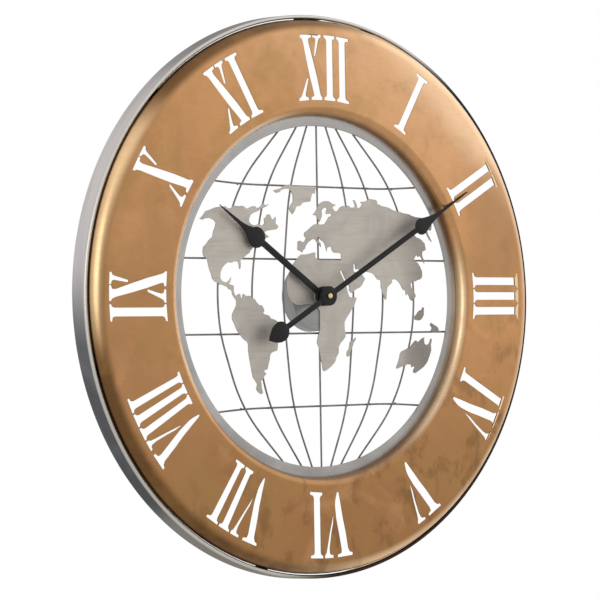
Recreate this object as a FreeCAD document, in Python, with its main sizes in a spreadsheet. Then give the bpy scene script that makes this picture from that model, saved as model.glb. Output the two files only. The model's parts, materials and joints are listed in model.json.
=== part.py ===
import FreeCAD, Part
import Sketcher
import math
import os

# World map wall clock: a copper dial ring with pierced Roman numerals inside a rolled steel rim, round an
# open globe of bent wires that carries the continents, a movement in a spun cup, and two spade hands.
# Every piece is drawn face up: X to the right of the dial, Y to the twelve, Z from the wall to the viewer.
# hang() then stands it upright, with the origin at the round part of the hanger's keyhole, on the wall.

V = FreeCAD.Vector
OUT_DIR = "parts"

doc = FreeCAD.newDocument("world_map_wall_clock")
sheet = doc.addObject("Spreadsheet::Sheet", "sizes")
derived = doc.addObject("App::VarSet", "derived")

SIZES = (
    # rim
    ("rim_radius", 298.5, "outer radius of the steel band at the wall"),
    ("rim_draft", 1.3, "how much smaller the steel band is at its bead"),
    ("rim_wall", 1.2, "thickness of the steel band"),
    ("rim_height", 19.0, "wall to the middle of the rolled bead"),
    ("bead_radius", 2.0, "radius of the bead rolled inwards at the front"),
    ("rim_gap", 0.8, "bead to the edge of the dial"),
    # dial ring
    ("dial_sheet", 1.2, "copper sheet thickness"),
    ("dial_rise", 5.3, "dial face in front of the hour hand's boss"),
    ("dial_outer_roll", 14.4, "radius of the outer rolled edge"),
    ("dial_inner_roll", 9.0, "radius of the inner rolled edge"),
    ("numeral_outer_margin", 2.7, "flat copper outside the numerals"),
    ("numeral_height", 68.7, "radial height of the numerals"),
    ("numeral_inner_margin", 6.6, "flat copper inside the numerals"),
    ("bar_width", 8.6, "thick stroke of an upright"),
    ("serif_thickness", 2.6, "tip of a serif"),
    ("serif_bracket", 3.4, "curve between a serif and its stroke"),
    ("serif_reach", 3.3, "serif beside the stroke, towards a neighbour"),
    ("end_serif_reach", 5.0, "serif beside the stroke, at the end of a numeral"),
    ("letter_gap", 1.8, "bridge of copper between two letters"),
    # brackets between the rim and the dial
    ("bracket_width", 16.0, "width of a bracket"),
    ("bracket_sheet", 1.2, "thickness of a bracket"),
    ("bracket_lap", 9.0, "length welded under the dial"),
    ("bracket_leg", 7.0, "length welded to the rim"),
    ("bracket_level", 7.0, "wall to the bracket's outer leg"),
    ("weld_gap", 0.02, "hairline between welded pieces"),
    # globe ring and wires
    ("ring_lap", 3.0, "globe ring outside the dial's inner lip"),
    ("ring_show", 11.0, "globe ring inside the dial's inner lip"),
    ("ring_sheet", 2.5, "thickness of the globe ring"),
    ("ring_wall", 1.2, "thickness of the ring's rear wall"),
    ("ring_wall_inset", 7.0, "ring's inner edge to its rear wall"),
    ("ring_wall_depth", 4.5, "depth of the ring's rear wall"),
    ("wire_radius", 1.0, "radius of the globe's wires"),
    ("wire_clearance", 3.0, "least gap between a meridian and the movement's cup"),
    ("land_sheet", 1.2, "thickness of the continents"),
    # movement and its cup
    ("wall_gap", 0.7, "wall to the back of the movement"),
    ("cup_sheet", 0.6, "thickness of the spun cup"),
    ("cup_gap", 0.5, "cup around the movement"),
    ("cup_flare", 1.0, "how much wider the cup is at the wall"),
    ("case_wall", 1.0, "walls of the movement case"),
    ("movement_half", 25.8, "room that the wheels and the motor need inside the case, to each side"),
    ("fit_gap", 0.1, "clearance around a fitted piece"),
    ("run_gap", 0.05, "radial clearance of a turning fit"),
    ("seat_gap", 0.01, "radial clearance of a pressed or screwed fit"),
    ("battery_radius", 7.0, "radius of the battery"),
    ("battery_length", 50.5, "length of the battery with its nub"),
    ("nub_radius", 2.7, "radius of the battery's nub"),
    ("nub_height", 1.2, "height of the battery's nub"),
    ("contact_sheet", 0.3, "thickness of a battery contact"),
    ("contact_gap", 0.25, "battery to each contact"),
    ("contact_width", 9.0, "width of a battery contact"),
    ("bay_wall", 0.8, "wall between the battery and the wheels"),
    ("cover_sheet", 1.2, "thickness of the rear cover"),
    ("cover_inset", 1.9, "rear cover inside the back of the case"),
    ("boss_height", 0.6, "bearing bosses on the rear cover"),
    ("boss_radius", 1.4, "radius of a bearing boss"),
    ("pivot_radius", 0.5, "radius of the wheel pivots"),
    ("pivot_depth", 0.5, "how far a pivot enters its bearing"),
    ("wheel_sheet", 0.6, "thickness of the wheels"),
    ("layer_gap", 0.8, "gap between two layers of wheels"),
    ("pinion_proud", 0.1, "pinion past its wheel, on each side"),
    ("motion_spacing", 8.6, "centre to the minute wheel"),
    ("centre_spacing", 8.4, "centre to the intermediate wheel"),
    ("going_spacing", 6.8, "intermediate wheel to the seconds wheel"),
    ("step_spacing", 6.8, "seconds wheel to the step wheel"),
    ("rotor_spacing", 6.6, "step wheel to the rotor"),
    ("wheel_clearance", 0.3, "wheels to the walls beside them"),
    ("arbor_radius", 1.2, "radius of the centre arbor under the minute pinion"),
    ("minute_arbor_radius", 1.6, "radius of the minute arbor inside the hour tube"),
    ("hour_tube_wall", 1.1, "wall of the hour tube"),
    ("bush_wall", 1.2, "wall of the threaded bush"),
    ("bush_stand", 0.5, "bush in front of its nut"),
    ("washer_height", 0.6, "thickness of the washer"),
    ("washer_rim", 4.0, "width of the washer"),
    ("nut_height", 2.5, "thickness of the hexagon nut"),
    ("nut_rim", 2.2, "least wall of the hexagon nut"),
    ("knob_radius", 5.5, "radius of the setting knob"),
    ("stem_radius", 1.2, "radius of the setting knob's stem"),
    ("magnet_radius", 2.0, "radius of the rotor magnet"),
    ("magnet_height", 2.2, "height of the rotor magnet"),
    ("air_gap", 0.35, "rotor magnet to the stator"),
    ("stator_sheet", 1.0, "thickness of the stator"),
    ("stator_margin", 1.1, "stator beside the rotor's hole"),
    ("stator_bridge", 0.55, "stator between the rotor's hole and the coil"),
    ("stator_arm", 2.2, "width of the stator's far arm"),
    ("coil_radius", 2.3, "radius of the wound coil"),
    ("coil_length", 13.0, "length of the wound coil"),
    ("bobbin_flange", 0.6, "thickness of the bobbin's flanges"),
    ("bobbin_wall", 0.5, "wall of the bobbin"),
    ("core_width", 2.0, "width of the coil core"),
    ("board_width", 9.0, "width of the circuit board"),
    ("board_length", 24.0, "length of the circuit board"),
    ("board_sheet", 0.8, "thickness of the circuit board"),
    ("board_gap", 0.4, "rear cover to the circuit board"),
    ("crystal_radius", 1.0, "radius of the quartz crystal's can"),
    ("crystal_length", 6.0, "length of the quartz crystal's can"),
    ("post_radius", 2.0, "radius of the screw posts"),
    ("screw_radius", 0.9, "radius of the cover screws"),
    ("screw_head_radius", 1.7, "radius of the screw heads"),
    ("screw_head_height", 0.7, "height of the screw heads"),
    ("screw_length", 6.0, "length of the screws under their heads"),
    # hands
    ("hand_sheet", 1.0, "thickness of the hands"),
    ("hand_gap", 1.2, "bush to the hour hand"),
    ("hand_clearance", 0.8, "dial face to the minute hand"),
    ("boss_hand_radius", 10.4, "radius of the hands' round bosses"),
    ("hour_boss_height", 3.5, "height of the hour hand's boss"),
    ("minute_boss_drop", 2.0, "minute hand's boss behind its blade"),
    ("minute_boss_front", 0.6, "minute hand's boss in front of its blade"),
    ("hour_tip", 163.0, "centre to the tip of the hour hand"),
    ("hour_ball", 106.0, "centre to the middle of the hour hand's spade"),
    ("hour_ball_radius", 11.0, "radius of the hour hand's spade"),
    ("hour_shaft_width", 7.2, "width of the hour hand's shaft"),
    ("minute_tip", 230.0, "centre to the tip of the minute hand"),
    ("minute_ball", 151.0, "centre to the middle of the minute hand's spade"),
    ("minute_ball_radius", 9.0, "radius of the minute hand's spade"),
    ("minute_shaft_width", 6.0, "width of the minute hand's shaft"),
    ("tail_tip", 92.0, "centre to the tip of the counterweight"),
    ("tail_ball", 74.0, "centre to the middle of the counterweight"),
    ("tail_ball_radius", 10.6, "radius of the counterweight"),
    ("cap_radius", 2.8, "radius of the brass cap nut"),
    ("cap_height", 2.4, "height of the brass cap nut"),
    ("cap_wall", 1.0, "closed end of the brass cap nut"),
    # hanger
    ("keyhole_drop", 11.2, "inside of the rim to the middle of the keyhole"),
    ("keyhole_radius", 4.5, "radius of the keyhole's round part"),
    ("slot_radius", 2.3, "half width of the keyhole's slot"),
    ("slot_rise", 5.6, "keyhole's round part to the slot's end"),
    ("hanger_sheet", 1.2, "thickness of the hanger plate"),
    ("hanger_half_width", 16.0, "half width of the hanger plate"),
    ("hanger_margin", 1.8, "plate below the keyhole"),
    ("hanger_flange", 8.0, "depth of the flange welded to the rim"),
    # shared by all cuts
    ("overrun", 1.0, "how far a cutting shape runs past"),
)

# Teeth: the motion work slows the hour hand to a twelfth of the minute hand, and the going train slows the
# rotor to the centre wheel.
MINUTE_PINION_TEETH, MINUTE_TEETH, HOUR_PINION_TEETH, HOUR_TEETH = 12, 36, 10, 40
ROTOR_PINION_TEETH, STEP_TEETH, STEP_PINION_TEETH, SECONDS_TEETH = 6, 60, 10, 30
SECONDS_PINION_TEETH, INTERMEDIATE_TEETH, INTERMEDIATE_PINION_TEETH, CENTRE_TEETH = 8, 60, 8, 64
# Room for a wheel's teeth past its pitch circle, in modules.
TOOTH_ROOM = 1

# Places that follow from the driving sizes. Levels are heights above the wall.
DERIVED = (
    ("case_back", "sizes.wall_gap"),
    ("case_front", "derived.case_back + 2 * sizes.battery_radius + 2 * sizes.fit_gap + sizes.case_wall"),
    ("case_inner", "derived.case_front - sizes.case_wall"),
    ("land_back", "derived.case_front + sizes.cup_sheet"),
    ("land_front", "derived.land_back + sizes.land_sheet"),
    ("ring_front", "derived.land_back + sizes.ring_sheet"),
    ("meridian_level", "derived.land_back - sizes.wire_radius - sizes.weld_gap"),
    ("latitude_level", "derived.meridian_level - 2 * sizes.wire_radius - sizes.weld_gap"),
    ("nut_back", "derived.land_front + sizes.washer_height"),
    ("nut_front", "derived.nut_back + sizes.nut_height"),
    ("bush_top", "derived.nut_front + sizes.bush_stand"),
    ("hour_back", "derived.bush_top + sizes.hand_gap"),
    ("hour_top", "derived.hour_back + sizes.hour_boss_height"),
    ("dial_face", "derived.hour_top + sizes.dial_rise"),
    ("dial_back", "derived.dial_face - sizes.dial_sheet"),
    ("minute_back", "derived.dial_face + sizes.hand_clearance"),
    ("minute_top", "derived.minute_back + sizes.hand_sheet + sizes.minute_boss_front"),
    ("bead_foot", "sizes.rim_height"
                  " - sqrt(sizes.bead_radius ^ 2 - (sizes.bead_radius - sizes.rim_wall) ^ 2)"),
    ("rim_front", "sizes.rim_radius - sizes.rim_draft"),
    ("rim_taper", "sizes.rim_draft / derived.bead_foot"),
    ("bracket_top", "sizes.bracket_level + sizes.bracket_leg"),
    ("rim_at_bracket", "sizes.rim_radius - sizes.rim_wall - derived.rim_taper * derived.bracket_top"),
    ("rim_at_hanger", "sizes.rim_radius - sizes.rim_wall - derived.rim_taper * sizes.hanger_flange"),
    ("hanger_height", "derived.rim_at_hanger - sizes.keyhole_drop"),
    ("bead_ring", "derived.rim_front - sizes.bead_radius"),
    ("dial_outer", "derived.bead_ring - sizes.bead_radius - sizes.rim_gap"),
    ("dial_outer_flat", "derived.dial_outer - sizes.dial_outer_roll"),
    ("numeral_outer", "derived.dial_outer_flat - sizes.numeral_outer_margin"),
    ("numeral_inner", "derived.numeral_outer - sizes.numeral_height"),
    ("dial_inner_flat", "derived.numeral_inner - sizes.numeral_inner_margin"),
    ("dial_inner", "derived.dial_inner_flat - sizes.dial_inner_roll"),
    ("ring_outer", "derived.dial_inner + sizes.ring_lap"),
    ("globe_radius", "derived.dial_inner - sizes.ring_show"),
    ("ring_wall_radius", "derived.globe_radius + sizes.ring_wall_inset"),
    ("wire_end", "derived.ring_wall_radius - sizes.wire_radius - sizes.fit_gap"),
    ("motion_module", f"2 * sizes.motion_spacing / {MINUTE_PINION_TEETH + MINUTE_TEETH}"),
    ("hour_module", f"2 * sizes.motion_spacing / {HOUR_PINION_TEETH + HOUR_TEETH}"),
    ("centre_module", f"2 * sizes.centre_spacing / {INTERMEDIATE_PINION_TEETH + CENTRE_TEETH}"),
    ("going_module", f"2 * sizes.going_spacing / {SECONDS_PINION_TEETH + INTERMEDIATE_TEETH}"),
    ("step_module", f"2 * sizes.step_spacing / {STEP_PINION_TEETH + SECONDS_TEETH}"),
    ("rotor_module", f"2 * sizes.rotor_spacing / {ROTOR_PINION_TEETH + STEP_TEETH}"),
    ("wheel_reach", f"max({CENTRE_TEETH / 2 + TOOTH_ROOM} * derived.centre_module; "
                    f"{HOUR_TEETH / 2 + TOOTH_ROOM} * derived.hour_module) + sizes.wheel_clearance"),
    ("bay_top", "derived.wheel_reach + sizes.bay_wall"),
    ("battery_drop", "derived.bay_top + sizes.fit_gap + sizes.battery_radius"),
    ("battery_end", "sizes.battery_length / 2 + sizes.contact_gap + sizes.contact_sheet"),
    ("battery_foot", "derived.battery_drop + sizes.battery_radius + sizes.fit_gap"),
    ("case_room", "max(derived.battery_end; max(derived.battery_foot; sizes.movement_half))"),
    ("case_half", "derived.case_room + sizes.case_wall"),
    ("case_round", "sqrt(derived.case_half ^ 2 + derived.battery_foot ^ 2)"),
    ("cup_inner", "derived.case_round + sizes.cup_gap"),
    ("cup_outer", "derived.cup_inner + sizes.cup_sheet"),
    ("cover_back", "derived.case_back + sizes.cover_inset"),
    ("cover_front", "derived.cover_back + sizes.cover_sheet"),
    ("pivot_back", "derived.cover_front + sizes.boss_height - sizes.pivot_depth"),
    ("pivot_front", "derived.case_inner + sizes.pivot_depth"),
    ("hour_tube_radius", "sizes.minute_arbor_radius + sizes.run_gap + sizes.hour_tube_wall"),
    ("bush_bore", "derived.hour_tube_radius + sizes.run_gap"),
    ("bush_radius", "derived.bush_bore + sizes.bush_wall"),
    ("nut_radius", "(derived.bush_radius + sizes.nut_rim) / cos(30)"),
)

for row, (alias, value, note) in enumerate(SIZES, start=1):
    sheet.set(f"A{row}", note)
    sheet.set(f"B{row}", str(value))
    sheet.setAlias(f"B{row}", alias)
doc.recompute()
for name, formula in DERIVED:
    derived.addProperty("App::PropertyFloat", name, "Places")
    derived.setExpression(name, formula)
    doc.recompute()


def size(alias):
    """A driving size from the sheet."""
    return float(sheet.get(alias))


def place(name):
    """A size or level worked out from the sheet."""
    return float(getattr(derived, name))


UPRIGHT = FreeCAD.Rotation(V(1, 0, 0), 90)
ALONG_X = FreeCAD.Rotation(V(0, 1, 0), 90)
ALONG_Y = FreeCAD.Rotation(V(1, 0, 0), -90)
nodes = []


def hang(part, label, across="0", up="0", level="0", turn=0):
    """Name a finished piece and stand it upright under the keyhole; turn is in degrees round the dial."""
    part.Label = label
    part.Placement = FreeCAD.Placement(V(), UPRIGHT * FreeCAD.Rotation(V(0, 0, 1), turn))
    part.setExpression("Placement.Base.x", across)
    part.setExpression("Placement.Base.y", f"-({level})")
    part.setExpression("Placement.Base.z", f"{up} - derived.hanger_height")
    nodes.append(part)


def shaped(label, shape, turn=0):
    """A piece whose outline comes from a formula or from shares."""
    part = doc.addObject("Part::Feature", label)
    part.Shape = shape
    hang(part, label, turn=turn)


def solid(kind, sizes, across="0", up="0", level="0", rotation=None):
    """A Part primitive with its sizes and place bound to the sheet."""
    part = doc.addObject(f"Part::{kind}", kind.lower())
    if rotation is not None:
        part.Placement = FreeCAD.Placement(V(), rotation)
    for name, formula in sizes.items():
        part.setExpression(name, formula)
    part.setExpression("Placement.Base.x", across)
    part.setExpression("Placement.Base.y", up)
    part.setExpression("Placement.Base.z", level)
    return part


def cylinder(radius, height, across="0", up="0", level="0", rotation=None):
    return solid("Cylinder", {"Radius": radius, "Height": height}, across, up, level, rotation)


def cut(base, tool):
    result = doc.addObject("Part::Cut", "cut")
    result.Base = base
    result.Tool = tool
    return result


def fuse(*shapes):
    result = doc.addObject("Part::MultiFuse", "fuse")
    result.Shapes = list(shapes)
    return result


def origin_plane(body, role):
    return next(plane for plane in body.Origin.OriginFeatures if plane.Role == role)


def new_sketch(body, role, level="0"):
    """A sketch on one of the body's own planes; level lifts it off that plane."""
    sketch = body.newObject("Sketcher::SketchObject", "outline")
    sketch.AttachmentSupport = [(origin_plane(body, role), "")]
    sketch.MapMode = "FlatFace"
    sketch.setExpression("AttachmentOffset.Base.z", level)
    return sketch


def outline_sketch(body, role, corners, level="0"):
    """A closed outline whose corners are each bound to two formulas, across and up."""
    sketch = new_sketch(body, role, level)
    count = len(corners)
    starts = [V(math.cos(math.tau * i / count), math.sin(math.tau * i / count), 0) for i in range(count)]
    for i in range(count):
        sketch.addGeometry(Part.LineSegment(starts[i], starts[(i + 1) % count]), False)
    for i in range(count):
        sketch.addConstraint(Sketcher.Constraint("Coincident", i, 2, (i + 1) % count, 1))
    for i, (across, up) in enumerate(corners):
        fixed = sketch.addConstraint(Sketcher.Constraint("DistanceX", -1, 1, i, 1, starts[i].x))
        sketch.setExpression(f"Constraints[{fixed}]", across)
        fixed = sketch.addConstraint(Sketcher.Constraint("DistanceY", -1, 1, i, 1, starts[i].y))
        sketch.setExpression(f"Constraints[{fixed}]", up)
    return sketch


def circle_sketch(body, role, radius, across="0", up="0", level="0"):
    sketch = new_sketch(body, role, level)
    sketch.addGeometry(Part.Circle(V(1, 1, 0), V(0, 0, 1), 1), False)
    for kind, start, formula in (("DistanceX", 1, across), ("DistanceY", 1, up)):
        fixed = sketch.addConstraint(Sketcher.Constraint(kind, -1, 1, 0, 3, start))
        sketch.setExpression(f"Constraints[{fixed}]", formula)
    fixed = sketch.addConstraint(Sketcher.Constraint("Radius", 0, 1))
    sketch.setExpression(f"Constraints[{fixed}]", radius)
    return sketch


def pad(body, sketch, height, both_ways=False):
    feature = body.newObject("PartDesign::Pad", "pad")
    feature.Profile = sketch
    feature.Midplane = both_ways
    feature.setExpression("Length", height)
    return feature


def pocket(body, sketch):
    """Cut a sketch right through the body, both ways from its plane."""
    feature = body.newObject("PartDesign::Pocket", "pocket")
    feature.Profile = sketch
    feature.Type = 1
    feature.Midplane = True
    return feature


def turned_body(name, corners):
    """A piece turned about the dial's axis, from a half section of radius and level."""
    body = doc.addObject("PartDesign::Body", name)
    sketch = outline_sketch(body, "XZ_Plane", corners)
    turning = body.newObject("PartDesign::Revolution", "turning")
    turning.Profile = sketch
    turning.ReferenceAxis = (sketch, ["V_Axis"])
    turning.Angle = 360
    return body


def flat(points, level, height):
    """A flat plate of the given outline, from one level up."""
    corners = [V(x, y, level) for x, y in points]
    return Part.Face(Part.makePolygon(corners + corners[:1])).extrude(V(0, 0, height))


def rod(x, y, radius, low, high):
    return Part.makeCylinder(radius, high - low, V(x, y, low))


def about_dial(x, y, degrees):
    """A point turned clockwise round the dial's centre."""
    angle = math.radians(degrees)
    return x * math.cos(angle) + y * math.sin(angle), y * math.cos(angle) - x * math.sin(angle)


# Steel rim: a slightly tapered band with its front edge rolled inwards into a bead.
def build_rim():
    front, height = place("rim_front"), size("rim_height")
    wall, bead = size("rim_wall"), size("bead_radius")
    outer_foot, inner_foot = V(size("rim_radius"), 0, 0), V(size("rim_radius") - wall, 0, 0)
    middle, outer_end = V(place("bead_ring"), 0, height), V(front, 0, height)
    inner_end = V(front - wall, 0, place("bead_foot"))
    crown = middle - (outer_end + inner_end - middle * 2).normalize() * bead
    edges = (Part.LineSegment(outer_foot, outer_end), Part.Arc(outer_end, crown, inner_end),
             Part.LineSegment(inner_end, inner_foot), Part.LineSegment(inner_foot, outer_foot))
    section = Part.Face(Part.Wire([edge.toShape() for edge in edges]))
    shaped("outer_rim", section.revolve(V(), V(0, 0, 1), 360))


# Copper dial ring: flat face, both edges rolled back in quarter rounds, the inner one down to the globe ring.
def dial_section():
    face = place("dial_face")
    inner, outer = place("dial_inner"), place("dial_outer")
    inner_roll, outer_roll = size("dial_inner_roll"), size("dial_outer_roll")
    inner_centre = V(inner + inner_roll, 0, face - inner_roll)
    outer_centre = V(outer - outer_roll, 0, face - outer_roll)
    lip = place("ring_front")
    edges = []
    for inset in (0, size("dial_sheet")):
        inner_arc, outer_arc = inner_roll - inset, outer_roll - inset
        inner_ends = [inner_centre + V(-inner_arc, 0, 0), inner_centre + V(0, 0, inner_arc)]
        outer_ends = [outer_centre + V(0, 0, outer_arc), outer_centre + V(outer_arc, 0, 0)]
        inner_middle = inner_centre + V(-1, 0, 1).normalize() * inner_arc
        outer_middle = outer_centre + V(1, 0, 1).normalize() * outer_arc
        edges.append(Part.LineSegment(V(inner + inset, 0, lip), inner_ends[0]))
        edges.append(Part.Arc(inner_ends[0], inner_middle, inner_ends[1]))
        edges.append(Part.LineSegment(inner_ends[1], outer_ends[0]))
        edges.append(Part.Arc(outer_ends[0], outer_middle, outer_ends[1]))
    edges.append(Part.LineSegment(V(inner, 0, lip), V(inner + size("dial_sheet"), 0, lip)))
    edges.append(Part.LineSegment(outer_centre + V(outer_roll, 0, 0),
                                  outer_centre + V(outer_roll - size("dial_sheet"), 0, 0)))
    wire = Part.Wire(Part.__sortEdges__([edge.toShape() for edge in edges]))
    return Part.Face(wire)


# Letter outlines in hundredths of the numeral's height: across from the letter's middle, up from its foot.
X_THICK_SHARES = (
    (-19.8, 100), (-19.8, 96), (-16.7, 94.5), (-14, 88.5), (-8.1, 62.5), (-0.9, 33.5), (5.7, 11.5),
    (6.7, 6), (1.3, 4), (1.3, 0), (23.1, 0), (23.1, 4), (20.6, 6.4), (19.2, 10.2), (13.7, 33.5),
    (5.2, 62.5), (-2.8, 88.5), (-2.6, 94), (2.8, 96), (2.8, 100),
)
X_UPPER_SHARES = (
    (4.2, 100), (4.2, 96), (9.4, 94.8), (10.5, 91.5), (7.1, 69), (8, 66.7), (10.2, 67.2), (12.8, 77),
    (16.1, 90), (17.9, 94.2), (21.7, 96), (21.7, 100),
)
X_LOWER_SHARES = (
    (-22.5, 0), (-22.5, 3.8), (-19.2, 5.2), (-16.9, 8.7), (-12.2, 19.6), (-7.1, 32.3), (-4.9, 33.9),
    (-3.2, 32.4), (-7, 18.9), (-9.4, 8.7), (-8.3, 5.5), (-3, 3.9), (-3, 0),
)
V_THICK_SHARES = (
    (-27.6, 100), (-27.6, 96), (-22.4, 94.2), (-19, 88.5), (-14.4, 62.5), (-9.2, 40.7), (-5.1, 18.9),
    (-1.9, 2.9), (-0.9, 0.6), (0.6, 0), (2.3, 0.6), (3.6, 4.4), (6, 13), (6.5, 20.3), (5.7, 29),
    (4.4, 40.7), (-0.3, 62.5), (-5.4, 88.5), (-4.9, 94), (2.2, 96), (2.2, 100),
)
V_THIN_SHARES = (
    (10.2, 100), (10.2, 96), (15.4, 95), (17.2, 92), (17.4, 84.3), (13.8, 62.5), (10.2, 48),
    (9.4, 36.4), (10.5, 35.5), (13.8, 48), (17.7, 62.5), (22.5, 84.3), (24.6, 92.3), (27.6, 96),
    (27.6, 100),
)
# How far each drawn letter reaches to its left and right, in the same hundredths.
LETTER_REACH_SHARES = {"X": (22.1, 24), "V": (27.6, 27.6)}
LETTER_STROKES = {"X": (X_THICK_SHARES, X_UPPER_SHARES, X_LOWER_SHARES), "V": (V_THICK_SHARES, V_THIN_SHARES)}
# Roman numerals clockwise from one: the shares of its full width that each is drawn at, at its outer and its
# inner end, and the degrees that it stands back from its hour.
NUMERALS = (
    ("I", 1, 1, 0), ("II", 1, 1, 0), ("III", 0.97, 0.97, 0), ("IV", 1, 1, 0), ("V", 1, 1, 0),
    ("VI", 1, 1, 0), ("VII", 0.97, 0.76, 1.4), ("VIII", 0.91, 0.71, 0.4), ("IX", 1, 1, 0),
    ("X", 1, 1, 0), ("XI", 1, 1, 0), ("XII", 1, 1, 0),
)
# Where the serif's curve passes between its tip and the stroke.
BRACKET_SHARE = 0.3


def upright_stroke(left_reach, right_reach):
    """The letter I, with a serif at each end."""
    height = size("numeral_height")
    half = size("bar_width") / 2
    tip, bracket = size("serif_thickness"), size("serif_bracket")
    right = (
        (right_reach, 0), (right_reach, tip),
        (half + BRACKET_SHARE * bracket, tip + BRACKET_SHARE * bracket), (half, tip + bracket),
    )
    left = tuple((-x if x != right_reach else -left_reach, y) for x, y in right)
    return (
        right + tuple((x, height - y) for x, y in reversed(right))
        + tuple((x, height - y) for x, y in left) + tuple(reversed(left))
    )


def letter(name, is_first, is_last):
    """Left reach, right reach and stroke outlines of one letter, about its middle."""
    if name == "I":
        half = size("bar_width") / 2
        left = half + size("end_serif_reach" if is_first else "serif_reach")
        right = half + size("end_serif_reach" if is_last else "serif_reach")
        return left, right, [upright_stroke(left, right)]
    unit = size("numeral_height") / 100
    left, right = (reach * unit for reach in LETTER_REACH_SHARES[name])
    strokes = [[(x * unit, y * unit) for x, y in stroke] for stroke in LETTER_STROKES[name]]
    return left, right, strokes


def numeral_strokes(text, outer_share, inner_share):
    """Every stroke of a numeral, centred on the dial's vertical, with its ends on arcs of the dial."""
    foot = place("numeral_inner")
    cursor, strokes = 0, []
    for index, name in enumerate(text):
        left, right, outlines = letter(name, index == 0, index == len(text) - 1)
        cursor += left
        strokes += [[(x + cursor, y) for x, y in outline] for outline in outlines]
        cursor += right + size("letter_gap")
    middle = (cursor - size("letter_gap")) / 2
    widening = (outer_share - inner_share) / size("numeral_height")
    for outline in strokes:
        shifted = [((x - middle) * (inner_share + widening * y), y) for x, y in outline]
        yield [(x, math.sqrt((foot + y) ** 2 - x ** 2)) for x, y in shifted]


def build_dial():
    blank = dial_section().revolve(V(), V(0, 0, 1), 360)
    floor = place("dial_back") - size("overrun")
    depth = size("dial_sheet") + 2 * size("overrun")
    cutters = []
    for hour, (text, outer_share, inner_share, back) in enumerate(NUMERALS, start=1):
        for outline in numeral_strokes(text, outer_share, inner_share):
            turned = [about_dial(x, y, 360 * hour / len(NUMERALS) - back) for x, y in outline]
            cutters.append(flat(turned, floor, depth))
    shaped("dial_ring", blank.cut(cutters))


# Six bent brackets hold the dial inside the rim, midway between numerals.
BRACKETS = 6


def build_brackets():
    foot = "sizes.bracket_level"
    top = "(derived.dial_back - sizes.weld_gap)"
    # The rim curves towards a flat bracket's corners.
    outer = "(sqrt(derived.rim_at_bracket ^ 2 - (sizes.bracket_width / 2) ^ 2) - sizes.weld_gap)"
    bend = "(derived.dial_outer_flat - sizes.numeral_outer_margin)"
    lap = f"({bend} - sizes.bracket_lap)"
    thick = "sizes.bracket_sheet"
    corners = (
        (outer, foot), (outer, "derived.bracket_top"),
        (f"{outer} - {thick}", "derived.bracket_top"), (f"{outer} - {thick}", f"{foot} + {thick}"),
        (f"{bend} + {thick}", f"{foot} + {thick}"), (f"{bend} + {thick}", top), (lap, top),
        (lap, f"{top} - {thick}"), (bend, f"{top} - {thick}"), (bend, foot),
    )
    for index in range(BRACKETS):
        body = doc.addObject("PartDesign::Body", f"bracket_{index + 1}")
        pad(body, outline_sketch(body, "XZ_Plane", corners), "sizes.bracket_width", both_ways=True)
        hang(body, f"dial_bracket_{index + 1}", turn=(index + 0.25) * 360 / BRACKETS)


# Globe ring: a flat steel ring behind the dial's inner lip, with a wall behind it for the wires' ends.
def build_globe_ring():
    wall_outer = "derived.ring_wall_radius + sizes.ring_wall"
    wall_foot = "derived.land_back - sizes.ring_wall_depth"
    body = turned_body("globe_ring", (
        ("derived.globe_radius", "derived.land_back"), ("derived.ring_wall_radius", "derived.land_back"),
        ("derived.ring_wall_radius", wall_foot), (wall_outer, wall_foot), (wall_outer, "derived.land_back"),
        ("derived.ring_outer", "derived.land_back"), ("derived.ring_outer", "derived.ring_front"),
        ("derived.globe_radius", "derived.ring_front"),
    ))
    hang(body, "inner_ring")


# How far a wire's bend runs along the shorter of its two straights.
BEND_SHARE = 0.45


def bent_wire(points, level):
    """A round wire along straight runs joined by tangent arcs."""
    route = [V(x, y, level) for x, y in points]
    edges = []
    start = route[0]
    for before, corner, after in zip(route, route[1:], route[2:]):
        back, ahead = before - corner, after - corner
        half_turn = (math.pi - back.getAngle(ahead)) / 2
        reach = BEND_SHARE * min(back.Length, ahead.Length)
        back.normalize()
        ahead.normalize()
        radius = reach / math.tan(half_turn)
        inward = (back + ahead).normalize()
        enter, leave = corner + back * reach, corner + ahead * reach
        middle = corner + inward * (radius / math.cos(half_turn) - radius)
        edges += [Part.LineSegment(start, enter), Part.Arc(enter, middle, leave)]
        start = leave
    edges.append(Part.LineSegment(start, route[-1]))
    path = Part.Wire([edge.toShape() for edge in edges])
    section = Part.Wire(Part.Circle(route[0], route[1] - route[0], size("wire_radius")).toShape())
    return path.makePipeShell([section], True, False)


def ring_point(x):
    """The end of a wire inside the globe ring's wall, at this distance across."""
    return x, math.sqrt(place("wire_end") ** 2 - x ** 2)


# Shares of the globe's radius: the latitudes' heights, and where each meridian crosses the equator, the
# inner latitude, the outer latitude and the ring.
INNER_LATITUDE_SHARE = 0.217
OUTER_LATITUDE_SHARE = 0.645
LATITUDE_BOW_SHARE = 0.018
LATITUDE_FLAT_SHARE = 0.53
MERIDIAN_SHARES = (
    ("inner", 0.267, 0.25, 0.208, 0.058),
    ("middle", 0.495, 0.475, 0.383, 0.125),
    ("outer", 0.739, 0.72, 0.578, 0.242),
)


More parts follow.
